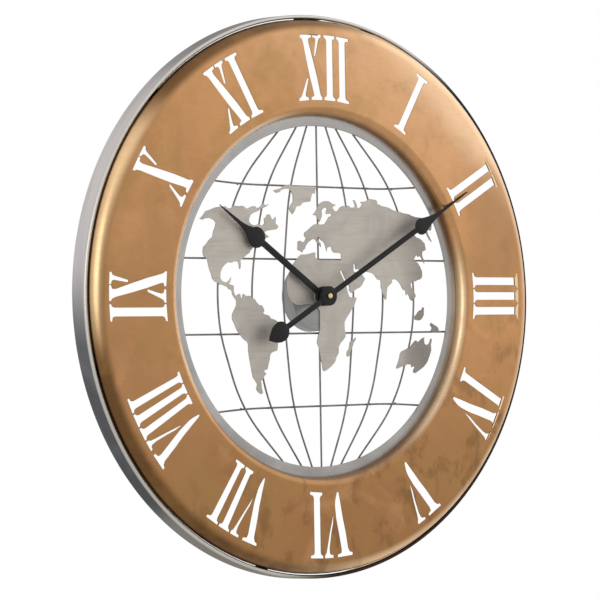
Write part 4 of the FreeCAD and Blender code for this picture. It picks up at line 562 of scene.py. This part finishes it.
def rolled_steel_finish(slot, base):
    """The rim: fine brushing along the band, and painted light and shade: a painted highlight at the left, a
    painted bluish dark reflection low on the left, painted greenish shade beneath and painted shade on top,
    a painted highlight on the bead on the left and painted shade on it to the right, a painted reflection of
    the copper inside the wall, darker at its foot, and edges paler from wear and a painted edge glint."""
    f = Finish(slot)
    across, depth, up, radius = f.parts()
    lines = f.turning(radius, depth, 900)
    clouds = f.noise(f.place, 9, 5, 0.6, 0.5)
    streaks = f.noise(f.scaled(6, 120, 6), 1, 4, 0.6, 0.3)
    colour = f.mix(f.ramp(clouds, 0.3, 0.7), shade(base, 0.85), shade(base, 1.2))
    # Painted highlight: the band brighter on the left.
    bright = f.ramp(up * 0.25 - across, 0.2, 0.3) * f.ramp(streaks, 0.35, 0.6, 0.35, 1)
    colour = f.mix(bright * 0.8, colour, STEEL["bright"])
    # Painted dark reflection, bluish, low on the left.
    painted_dark_low_left = f.ramp(across * -0.86 - up * 0.5, 0.235, 0.285) * f.ramp(up, -0.262, -0.205)
    colour = f.mix(painted_dark_low_left * f.ramp(clouds, 0.25, 0.6, 0.7, 1), colour, STEEL["painted_dark_low_left"])
    # Painted shade, greenish, on the underside.
    below = f.ramp(-up, 0.2, 0.262)
    colour = f.mix(below * 0.75, colour, STEEL["greenish"])
    colour = f.mix(f.ramp(up, 0.2, 0.27, 0, 0.65), colour, STEEL["shaded"])
    colour = f.mix(f.ramp(lines, 0.35, 0.75, 0, 0.3), colour, shade(base, 0.5))
    # Painted highlight on the bead on the left, painted shade on it to the right.
    bead = f.ramp(-depth, 0.0178, 0.0192)
    right = f.ramp(across - up * 0.35, 0.03, 0.12)
    colour = f.mix(bead * (1 - right) * 0.8, colour, STEEL["pale bead"])
    colour = f.mix(bead * right, colour, STEEL["brown bead"])
    # Painted reflection of the copper on the inside of the rim wall, darker towards its foot.
    inside = 1 - f.ramp(radius - depth * ((RIM_FOOT - RIM_FRONT) / RIM_HEIGHT), 0.2977, 0.2981)
    copper_reflection = f.mix(f.ramp(-depth, 0.0016, 0.0024), STEEL["dark foot"], STEEL["copper_reflection"])
    colour = f.mix(inside * (1 - bead), colour, copper_reflection)
    # Edges paler from wear and a painted edge glint, save on the right.
    colour = f.mix(f.edge_band() * (1 - right) * 0.4, colour, STEEL["rubbed_and_sheen"])
    roughness = f.ramp(clouds, 0.3, 0.7, 0.3, 0.42) + f.ramp(lines, 0.3, 0.8, 0, 0.12)
    return f.done(colour, roughness, lines + clouds * 2, 0.00004, Specular_Tint=(0.55, 0.54, 0.53, 1))


def ring_steel_finish(slot, base, streak=700):
    """Satin steel turned or spun round the clock's axis."""
    f = Finish(slot)
    _, depth, _, radius = f.parts()
    lines = f.turning(radius, depth, streak)
    clouds = f.noise(f.place, 14, 5, 0.6, 0.6)
    colour = f.mix(f.ramp(clouds, 0.3, 0.72), shade(base, 0.78), shade(base, 1.18))
    colour = f.mix(f.ramp(lines, 0.35, 0.75, 0, 0.4), colour, shade(base, 0.6))
    # Edges paler from wear and a painted edge glint.
    colour = f.mix(f.edge_band() * 0.5, colour, shade(base, 1.7))
    roughness = f.ramp(clouds, 0.3, 0.7, 0.3, 0.44) + f.ramp(lines, 0.3, 0.8, 0, 0.1)
    return f.done(colour, roughness, lines + clouds, 0.00004)


def land_finish(slot, base):
    """Sheet brushed across, east to west, with uneven streaks and soft handling marks, darker in the east,
    its cut edges darker."""
    f = Finish(slot)
    fine = f.noise(f.scaled(40, 40, 1500), 1, 5, 0.65, 0.2)
    broad = f.noise(f.scaled(16, 16, 260), 1, 4, 0.6, 0.4)
    clouds = f.noise(f.place, 20, 5, 0.6, 0.8)
    colour = f.mix(f.ramp(clouds, 0.32, 0.7), shade(base, 0.86), shade(base, 1.14))
    colour = f.mix(f.ramp(broad, 0.48, 0.75, 0, 0.45), colour, shade(base, 0.72))
    colour = f.mix(f.ramp(fine, 0.5, 0.8, 0, 0.4), colour, shade(base, 1.4))
    colour = f.mix(f.ramp(-fine, -0.45, -0.25, 0, 0.3), colour, shade(base, 0.7))
    across, _, up, _ = f.parts()
    eastern = f.ramp(across, 0.105, 0.14) * f.ramp(clouds, 0.3, 0.6, 0.3, 0.6)
    colour = f.mix(eastern, colour, shade(base, 0.45))
    islands = f.ramp(across, 0.108, 0.125) * (1 - f.ramp(up, -0.01, 0.005))
    colour = f.mix(islands * 0.45, colour, shade(base, 0.4))
    # Cut edges darker, unevenly.
    colour = f.mix(f.edge_band(0.0006) * f.ramp(clouds, 0.3, 0.6, 0.4, 0.75), colour, shade(base, 0.35))
    roughness = f.ramp(fine, 0.3, 0.75, 0.5, 0.66) + f.ramp(clouds, 0.3, 0.7, 0, 0.08)
    return f.done(colour, roughness, fine + broad, 0.00004)


def wire_finish(slot, base):
    """Dull drawn wire, mottled, and burnt brown where it was welded to the ring."""
    f = Finish(slot)
    _, _, _, radius = f.parts()
    mottle = f.noise(f.place, 160, 5, 0.6)
    clouds = f.noise(f.place, 22, 3)
    colour = f.mix(f.ramp(mottle, 0.35, 0.7), shade(base, 0.72), shade(base, 1.35))
    colour = f.mix(f.ramp(clouds, 0.4, 0.7, 0, 0.4), colour, shade(base, 1.5))
    burnt = f.ramp(radius, 0.176, 0.184)
    colour = f.mix(burnt * f.ramp(mottle, 0.3, 0.6, 0.3, 0.8), colour, (0.085, 0.062, 0.045))
    roughness = f.ramp(mottle, 0.3, 0.7, 0.38, 0.56)
    return f.done(colour, roughness, mottle + clouds, 0.00006)


def paint_finish(slot, base, shine, metallic=0.0):
    """Sprayed matt paint: fine orange peel, dust, edges paler from wear and a painted edge glint."""
    f = Finish(slot)
    peel = f.noise(f.place, 900, 3, 0.5)
    dust = f.noise(f.place, 60, 6, 0.7, 0.6)
    colour = f.mix(f.ramp(dust, 0.35, 0.75), shade(base, 0.8), shade(base, 1.7))
    # Edges paler from wear and a painted edge glint.
    colour = f.mix(f.edge_band(0.0003) * 0.55, colour, shade(base, 5.0))
    roughness = f.ramp(dust, 0.3, 0.7, shine - 0.06, shine + 0.1) + f.ramp(peel, 0.3, 0.7, 0, 0.05)
    return f.done(colour, roughness, peel + dust, 0.00005, metallic=metallic, Specular_IOR_Level=0.18)


def plastic_finish(slot, base, shine=0.42):
    """Moulded plastic with a fine spark-eroded grain and faint flow marks."""
    f = Finish(slot)
    grain = f.noise(f.place, 2600, 2, 0.5)
    flow = f.noise(f.scaled(1, 4, 1), 45, 4, 0.6, 1.2)
    colour = f.mix(f.ramp(flow, 0.35, 0.7), shade(base, 0.86), shade(base, 1.15))
    # Edges paler from wear and a painted edge glint.
    colour = f.mix(f.edge_band(0.0002) * 0.3, colour, shade(base, 1.6))
    roughness = f.ramp(grain, 0.3, 0.7, shine, shine + 0.14) + f.ramp(flow, 0.3, 0.7, 0, 0.06)
    return f.done(colour, roughness, grain + flow * 0.4, 0.00003, metallic=0.0)


def bright_finish(slot, base, shine=0.24):
    """Small machined metal pieces: fine turning lines, finger marks, edges paler from wear and a painted edge
    glint.
    """
    f = Finish(slot)
    lines = f.noise(f.scaled(300, 5200, 300), 1, 3)
    marks = f.noise(f.place, 240, 5, 0.6, 0.5)
    colour = f.mix(f.ramp(marks, 0.35, 0.7), shade(base, 0.8), shade(base, 1.15))
    colour = f.mix(f.ramp(lines, 0.5, 0.8, 0, 0.3), colour, shade(base, 0.6))
    # Edges paler from wear and a painted edge glint.
    colour = f.mix(f.edge_band(0.0002) * 0.4, colour, shade(base, 1.4))
    roughness = f.ramp(marks, 0.3, 0.7, shine, shine + 0.14) + f.ramp(lines, 0.3, 0.7, 0, 0.06)
    return f.done(colour, roughness, lines + marks, 0.00002)


def board_finish(slot):
    """Circuit board: green lacquer over paler copper tracks."""
    f = Finish(slot)
    cells = f.node("ShaderNodeTexBrick", {"offset": 0.35, "squash": 1.6}, {
        "Vector": f.place, "Scale": 160.0, "Mortar Size": 0.09, "Mortar Smooth": 0.2}).outputs[1]
    tracks = f.value(cells)
    clouds = f.noise(f.place, 300, 4)
    colour = f.mix(f.ramp(clouds, 0.3, 0.7), (0.010, 0.075, 0.032), (0.018, 0.115, 0.05))
    colour = f.mix(tracks * 0.8, colour, (0.06, 0.23, 0.09))
    return f.done(colour, f.ramp(clouds, 0.3, 0.7, 0.28, 0.42), tracks + clouds * 0.3, 0.00004, metallic=0.0)


def winding_finish(slot):
    """Enamelled copper wire, wound in close turns across the coil."""
    f = Finish(slot)
    turns = f.value(f.node("ShaderNodeTexWave", {"wave_type": "BANDS", "bands_direction": "X"}, {
        "Vector": f.place, "Scale": 900.0, "Distortion": 0.6, "Detail": 1.0}).outputs[1])
    mottle = f.noise(f.place, 700, 3)
    colour = f.mix(turns, (0.26, 0.075, 0.025), (0.62, 0.24, 0.09))
    colour = f.mix(f.ramp(mottle, 0.4, 0.7, 0, 0.4), colour, (0.42, 0.14, 0.05))
    return f.done(colour, f.ramp(mottle, 0.3, 0.7, 0.24, 0.38), turns, 0.00008, Coat_Weight=0.3)


def battery_finish(slot):
    """Plain cell: dark printed wrap with a copper-coloured band, bare metal at both ends."""
    f = Finish(slot)
    across, _, _, _ = f.parts()
    low, high = (corner.x - CENTRE_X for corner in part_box("battery"))
    band = f.ramp(across, high - 0.0138, high - 0.0134)
    bare = f.ramp(across, high - 0.0018, high - 0.0015) + (1 - f.ramp(across, low + 0.0006, low + 0.0009))
    scuffs = f.noise(f.scaled(1, 6, 6), 300, 5, 0.6)
    colour = f.mix(band, (0.035, 0.037, 0.042), (0.56, 0.30, 0.13))
    colour = f.mix(bare, colour, (0.62, 0.61, 0.59))
    colour = f.mix(f.ramp(scuffs, 0.5, 0.75, 0, 0.3), colour, (0.30, 0.29, 0.28))
    return f.done(colour, f.ramp(scuffs, 0.3, 0.7, 0.22, 0.4), scuffs, 0.00002,
                  metallic=f.ramp(band + bare, 0.0, 1.0, 0.1, 1.0))


def make_finishes():
    """For each slot: what makes its finish, then the base colour and whatever else that takes."""
    copper, steel, land, wire, hand = (tuple(getattr(settings(), name))
                                       for name in ("copper", "steel", "land", "wire", "hand"))
    rows = {
        "steel_rim": (rolled_steel_finish, steel),
        "copper_dial": (copper_finish, copper),
        "globe_ring": (ring_steel_finish, (0.37, 0.355, 0.34)),
        "wire": (wire_finish, wire),
        "land_sheet": (land_finish, land),
        "cup_metal": (ring_steel_finish, (0.27, 0.27, 0.262), 1500),
        "bracket_metal": (paint_finish, (0.06, 0.06, 0.065), 0.45, 0.6),
        "case_plastic": (plastic_finish, (0.022, 0.022, 0.024)),
        "cover_plastic": (plastic_finish, (0.040, 0.040, 0.043), 0.36),
        "gear_plastic": (plastic_finish, (0.62, 0.61, 0.57), 0.34),
        "knob_plastic": (plastic_finish, (0.50, 0.50, 0.49), 0.38),
        "arbor_metal": (bright_finish, shade(steel, 1.2)),
        "bobbin_plastic": (plastic_finish, (0.42, 0.40, 0.33), 0.4),
        "winding_copper": (winding_finish,),
        "soft_iron": (bright_finish, shade(land, 0.8), 0.4),
        "board": (board_finish,),
        "bright_metal": (bright_finish, (0.60, 0.59, 0.57)),
        "battery_wrap": (battery_finish,),
        "nut_brass": (bright_finish, (0.66, 0.50, 0.20), 0.18),
        "hand_black": (paint_finish, hand, 0.46),
    }
    return {slot: make(slot, *values) for slot, (make, *values) in rows.items()}


# Operators

class CLOCK_OT_finishes(bpy.types.Operator):
    """Make every finish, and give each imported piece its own"""
    bl_idname = "clock.finishes"
    bl_label = "Finishes"

    def execute(self, context):
        finishes = make_finishes()
        for node, item in frame["nodes"].items():
            for place in item.material_slots:
                place.material = finishes[NODE_SLOT[node]]
        return {"FINISHED"}


class CLOCK_OT_rim(bpy.types.Operator):
    """Turn the steel rim, with its bead rolled inwards"""
    bl_idname = "clock.rim"
    bl_label = "Rim"

    def execute(self, context):
        inner_foot = RIM_FOOT - RIM_WALL
        outline = np.concatenate([
            [(inner_foot, BAND_EDGE), (inner_foot + BAND_EDGE, 0.0), (RIM_FOOT - BAND_EDGE, 0.0),
             (RIM_FOOT, BAND_EDGE)],
            arc(RIM_FRONT - BEAD, RIM_HEIGHT, BEAD, 0, BEAD_END, 26)])
        new_piece("rim_band", [turned(outline)], ["outer_rim"])
        return {"FINISHED"}


class CLOCK_OT_dial(bpy.types.Operator):
    """Cut the copper dial and roll both its edges back in quarter rounds"""
    bl_idname = "clock.dial"
    bl_label = "Dial"

    def execute(self, context):
        def radius(point):
            return math.hypot(point.x - CENTRE_X, point.z - CENTRE_Z) / MM

        def on_flat(face):
            return all(FLAT_INNER - EDGE_MARGIN < radius(v.co) < FLAT_OUTER + EDGE_MARGIN for v in face.verts)

        lip, rounded_to = FLAT_INNER - INNER_ROLL, DIAL_LIP + LIP_EDGE
        inner = np.concatenate([
            arc(FLAT_INNER, DIAL_FACE - INNER_ROLL, INNER_ROLL, 90, 180),
            [(lip, rounded_to), (lip + LIP_EDGE, DIAL_LIP), (lip + DIAL_SHEET - LIP_EDGE, DIAL_LIP),
             (lip + DIAL_SHEET, rounded_to)],
            arc(FLAT_INNER, DIAL_FACE - INNER_ROLL, INNER_ROLL - DIAL_SHEET, 180, 90)])
        foot, edge = DIAL_FACE - OUTER_ROLL, FLAT_OUTER + OUTER_ROLL
        outer = np.concatenate([
            arc(FLAT_OUTER, foot, OUTER_ROLL, 90, ROLL_END),
            [(edge - LIP_EDGE, foot), (edge - DIAL_SHEET + LIP_EDGE, foot)],
            arc(FLAT_OUTER, foot, OUTER_ROLL - DIAL_SHEET, ROLL_END, 90)])
        points = np.zeros(3 * len(frame["nodes"]["dial_ring"].data.vertices))
        frame["nodes"]["dial_ring"].data.vertices.foreach_get("co", points)
        points = points.reshape(-1, 3)
        across, up = points[:, 0] - CENTRE_X, points[:, 2] - CENTRE_Z
        from_axis, level = np.hypot(across, up) / MM, -points[:, 1] / MM
        rolls = []
        for outline, edge in ((inner, FLAT_INNER), (outer, FLAT_OUTER)):
            on_edge = (abs(from_axis - edge) < EDGE_MARGIN) & (abs(level - DIAL_FACE) < EDGE_MARGIN)
            turns = np.unique(np.round(np.arctan2(across[on_edge], up[on_edge]), 5))
            shell_points, _ = turned(outline, turns)
            rolls.append((shell_points, grid_faces(len(turns), len(outline), True, False).tolist()))
        cut_sheet("dial_copper", "dial_ring", keep=on_flat, extra=rolls)
        return {"FINISHED"}


class CLOCK_OT_globe(bpy.types.Operator):
    """Turn the globe's ring, bend its wires and spot-weld them where they cross"""
    bl_idname = "clock.globe"
    bl_label = "Globe"

    def execute(self, context):
        ring = softened([
            (GLOBE, RING_FRONT), (RING_OUTER, RING_FRONT), (RING_OUTER, RING_BACK),
            (RING_WALL_OUTER, RING_BACK), (RING_WALL_OUTER, RING_WALL_FOOT),
            (RING_WALL_INNER, RING_WALL_FOOT), (RING_WALL_INNER, RING_BACK), (GLOBE, RING_BACK)], RING_EDGE)
        new_piece("globe_ring_band", [turned(ring)], ["inner_ring"])
        inner_y, outer_y = INNER_LATITUDE * GLOBE, OUTER_LATITUDE * GLOBE
        high, flat = outer_y + LATITUDE_BOW * GLOBE, LATITUDE_FLAT * GLOBE
        routes = {}
        for name, side in (("north", 1), ("south", -1)):
            end = math.sqrt(WIRE_END ** 2 - inner_y ** 2)
            routes[f"latitude_wire_inner_{name}"] = [
                (-end, side * inner_y), (end, side * inner_y)], LATITUDE_LEVEL
            end = math.sqrt(WIRE_END ** 2 - high ** 2)
            routes[f"latitude_wire_outer_{name}"] = [
                (-end, side * high), (-flat, side * outer_y), (flat, side * outer_y),
                (end, side * high)], LATITUDE_LEVEL
            routes[f"meridian_wire_centre_{name}"] = [
                (0, side * (CUP_OUTER + CUP_FLARE)), (0, side * WIRE_END)], MERIDIAN_LEVEL
        crossings = [(0, side * y) for side in (-1, 1) for y in (inner_y, outer_y)]
        for name, at_equator, at_inner, at_outer, at_ring in MERIDIANS:
            reach = at_ring * GLOBE
            upper = [(at_equator * GLOBE, 0), (at_inner * GLOBE, inner_y), (at_outer * GLOBE, outer_y),
                     (reach, math.sqrt(WIRE_END ** 2 - reach ** 2))]
            whole = [(x, -y) for x, y in reversed(upper[1:])] + upper
            routes[f"meridian_wire_{name}_east"] = whole, MERIDIAN_LEVEL
            routes[f"meridian_wire_{name}_west"] = [(-x, y) for x, y in whole], MERIDIAN_LEVEL
            crossings += [(sx * x * GLOBE, sy * y) for sx in (-1, 1) for sy in (-1, 1)
                          for x, y in ((at_inner, inner_y), (at_outer, outer_y))]
        for node, (route, level) in routes.items():
            line = bent_line(route)
            to_end = WIRE_END - np.hypot(line[:, 0], line[:, 1])
            flare = 1 + WELD_FLARE * np.exp(-(to_end / WELD_FLARE_LENGTH) ** 2)
            new_piece(f"{node}_drawn", [tube(line, WIRE * flare, level)], [node])
        between = (MERIDIAN_LEVEL + LATITUDE_LEVEL) / 2
        welds = droplets(crossings, between, settings().weld / MM, WELD_SQUASH)
        new_piece("wire_spot_welds", welds, [], slot="wire")
        return {"FINISHED"}


class CLOCK_OT_continents(bpy.types.Operator):
    """Cut the continents from brushed sheet"""
    bl_idname = "clock.continents"
    bl_label = "Continents"

    def execute(self, context):
        for node in frame["nodes"]:
            if node.startswith("land_"):
                cut_sheet(f"{node}_sheet", node, width=LAND_EDGE)
        return {"FINISHED"}


class CLOCK_OT_centre(bpy.types.Operator):
    """Spin the movement's cup and add the washer, hexagon nut and brass cap nut"""
    bl_idname = "clock.centre"
    bl_label = "Cup and fixings"

    def execute(self, context):
        foot = CUP_OUTER + CUP_FLARE
        cup = np.concatenate([
            [(CUP_HOLE, CASE_FRONT), (CUP_HOLE, CUP_FRONT)],
            arc(CUP_OUTER - CUP_SHOULDER, CUP_FRONT - CUP_SHOULDER, CUP_SHOULDER, 90, SHOULDER_END, 6),
            [(foot, CUP_LIP_OUTSIDE), (foot - CUP_LIP_INSIDE, 0.0), (CUP_INNER + CUP_FLARE, 0.0),
             (CUP_INNER, CASE_FRONT)]])
        new_piece("cup_spun", [turned(cup)], ["movement_cup"])
        cut_sheet("nut_hexagon", "hex_nut", width=NUT_EDGE)
        cut_sheet("washer_flat", "washer", width=WASHER_EDGE)
        cap = np.concatenate([
            [(MINUTE_BORE, MINUTE_TOP), (CAP - CAP_EDGE, MINUTE_TOP), (CAP, MINUTE_TOP + CAP_EDGE)],
            arc(CAP - CAP_DOME, CAP_TOP - CAP_DOME, CAP_DOME, 0, 90, 8),
            [(0, CAP_TOP), (0, CAP_TOP - CAP_ROOF), (MINUTE_BORE, CAP_TOP - CAP_ROOF)]])
        new_piece("cap_nut_domed", [turned(cap)], ["minute_cap_nut"], "minute_hand_set")
        return {"FINISHED"}


class CLOCK_OT_hands(bpy.types.Operator):
    """Shape the two spade hands, with the minute hand's leaf-shaped counterweight"""
    bl_idname = "clock.hands"
    bl_label = "Hands"

    def execute(self, context):
        def boss(back, top, bore):
            return turned(softened([(bore, back), (BOSS, back), (BOSS, top), (bore, top)], BOSS_EDGE))

        def stations(start, end, *rounds):
            fine = [middle + radius * np.sin(np.linspace(-1, 1, 41) * math.pi / 2)
                    for middle, _, radius in rounds]
            return np.unique(np.round(np.concatenate([np.linspace(start, end, 90), *fine]), 4))

        middle, point, _ = HOUR_SPADE
        along = stations(0, point, HOUR_SPADE)
        width = np.maximum(np.where(along <= middle, HOUR_HALF_WIDTH, 0),
                           leaf_width(along, *HOUR_SPADE, SPADE))
        new_piece("hour_hand_spade", [boss(HOUR_BACK, HOUR_TOP, HOUR_BORE),
                                      blade(along, width, HOUR_BACK, HOUR_TURN)],
                  ["hour_hand"], "hour_hand_set")
        (middle, point, _), (tail_middle, tail_point, _) = MINUTE_SPADE, MINUTE_TAIL
        along = stations(tail_point, point, MINUTE_SPADE, MINUTE_TAIL)
        width = np.maximum.reduce([
            np.where((along <= middle) & (along >= tail_middle), MINUTE_HALF_WIDTH, 0),
            leaf_width(along, *MINUTE_SPADE, SPADE), leaf_width(along, *MINUTE_TAIL, TAIL)])
        new_piece("minute_hand_spade", [boss(MINUTE_BACK - MINUTE_BOSS_DROP, MINUTE_TOP, MINUTE_BORE),
                                        blade(along, width, MINUTE_BACK, MINUTE_TURN)],
                  ["minute_hand"], "minute_hand_set")
        return {"FINISHED"}


class CLOCK_OT_brackets(bpy.types.Operator):
    """Round the edges of the hanger and of the brackets between rim and dial"""
    bl_idname = "clock.brackets"
    bl_label = "Brackets and hanger"

    def execute(self, context):
        for node in frame["nodes"]:
            if node.startswith("dial_bracket") or node == "hanger_plate":
                cut_sheet(f"{node}_folded", node, width=BRACKET_EDGE)
        return {"FINISHED"}


def lamp(name, location, aim, size, power):
    """A round lamp turned towards the point it is aimed at."""
    light = bpy.data.lights.new(name, "AREA")
    light.shape, light.size, light.energy = "DISK", size, power
    item = bpy.data.objects.new(name, light)
    item.location = location
    item.rotation_euler = (Vector(aim) - Vector(location)).to_track_quat("-Z", "Y").to_euler()
    bpy.context.scene.collection.objects.link(item)


def set_view(scene, centre):
    """Camera from the view's angles: back points from the clock to it, and the roll turns its other axes."""
    back = Vector((math.sin(VIEW_AZIMUTH) * math.cos(VIEW_ELEVATION),
                   -math.cos(VIEW_AZIMUTH) * math.cos(VIEW_ELEVATION), math.sin(VIEW_ELEVATION)))
    right = Vector((math.cos(VIEW_AZIMUTH), math.sin(VIEW_AZIMUTH), 0))
    up = back.cross(right)
    right, up = (math.cos(VIEW_ROLL) * right + math.sin(VIEW_ROLL) * up,
                 math.cos(VIEW_ROLL) * up - math.sin(VIEW_ROLL) * right)
    camera = bpy.data.objects.new("camera", bpy.data.cameras.new("camera"))
    scene.collection.objects.link(camera)
    camera.data.lens, camera.data.sensor_width = VIEW_LENS, SENSOR
    place = centre + VIEW_AIM + back * VIEW_DISTANCE
    camera.matrix_world = Matrix.Translation(place) @ Matrix((right, up, back)).transposed().to_4x4()
    scene.camera = camera
    scene.view_settings.view_transform = "Standard"


def white_to_camera(owner, plain, sockets, white, output):
    """Pure white to camera, glossy and transmission rays, and the plain shader to the rest."""
    made = Nodes(owner)
    path = made.node("ShaderNodeLightPath").outputs
    camera, glossy, transmission = (made.value(path[name]) for name in
                                    ("Is Camera Ray", "Is Glossy Ray", "Is Transmission Ray"))
    mixed = made.node("ShaderNodeMixShader", None, {
        0: camera | glossy | transmission,
        1: made.node(plain, None, sockets).outputs[0],
        2: made.node(white, None, {"Color": (1, 1, 1, 1), "Strength": 1.0}).outputs[0]})
    made.node(output, None, {"Surface": mixed.outputs[0]})


class CLOCK_OT_stage(bpy.types.Operator):
    """Set the photograph's view, the lamps, the white surroundings and the pale floor"""
    bl_idname = "clock.stage"
    bl_label = "Stage"

    def execute(self, context):
        scene = context.scene
        centre = Vector((CENTRE_X, 0, CENTRE_Z))
        set_view(scene, centre)
        for name, location, size, power in LAMPS:
            lamp(name, location, centre, size, power)

        floor = bpy.data.materials.new("floor")
        white_to_camera(floor, "ShaderNodeBsdfDiffuse", {}, "ShaderNodeEmission", "ShaderNodeOutputMaterial")
        mesh = bpy.data.meshes.new("floor")
        low = CENTRE_Z - FLOOR_DROP
        corners = [(x * FLOOR_REACH, y * FLOOR_REACH, low) for x, y in ((-1, -1), (1, -1), (1, 1), (-1, 1))]
        mesh.from_pydata(corners, [], [(0, 1, 2, 3)])
        mesh.materials.append(floor)
        plane = bpy.data.objects.new("floor", mesh)
        scene.collection.objects.link(plane)

        scene.world = bpy.data.worlds.new("surroundings")
        white_to_camera(scene.world, "ShaderNodeBackground", {"Strength": SOFT_LIGHT}, "ShaderNodeBackground",
                        "ShaderNodeOutputWorld")
        return {"FINISHED"}


class VIEW3D_PT_wall_clock(bpy.types.Panel):
    bl_label = "Wall clock"
    bl_space_type = "VIEW_3D"
    bl_region_type = "UI"
    bl_category = "Wall clock"

    def draw(self, context):
        for name in ClockSettings.__annotations__:
            self.layout.prop(context.scene.wall_clock, name)
        for step in STEPS:
            self.layout.operator(step.bl_idname)


STEPS = (CLOCK_OT_finishes, CLOCK_OT_rim, CLOCK_OT_dial, CLOCK_OT_globe, CLOCK_OT_continents,
         CLOCK_OT_centre, CLOCK_OT_hands, CLOCK_OT_brackets, CLOCK_OT_stage)
CLASSES = (ClockSettings, *STEPS, VIEW3D_PT_wall_clock)


def register():
    for item in CLASSES:
        bpy.utils.register_class(item)
    bpy.types.Scene.wall_clock = bpy.props.PointerProperty(type=ClockSettings)


def unregister():
    del bpy.types.Scene.wall_clock
    for item in reversed(CLASSES):
        bpy.utils.unregister_class(item)


def main():
    register()
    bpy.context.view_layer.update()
    for step in STEPS:
        group, name = step.bl_idname.split(".")
        getattr(getattr(bpy.ops, group), name)()


if __name__ == "__main__":
    main()
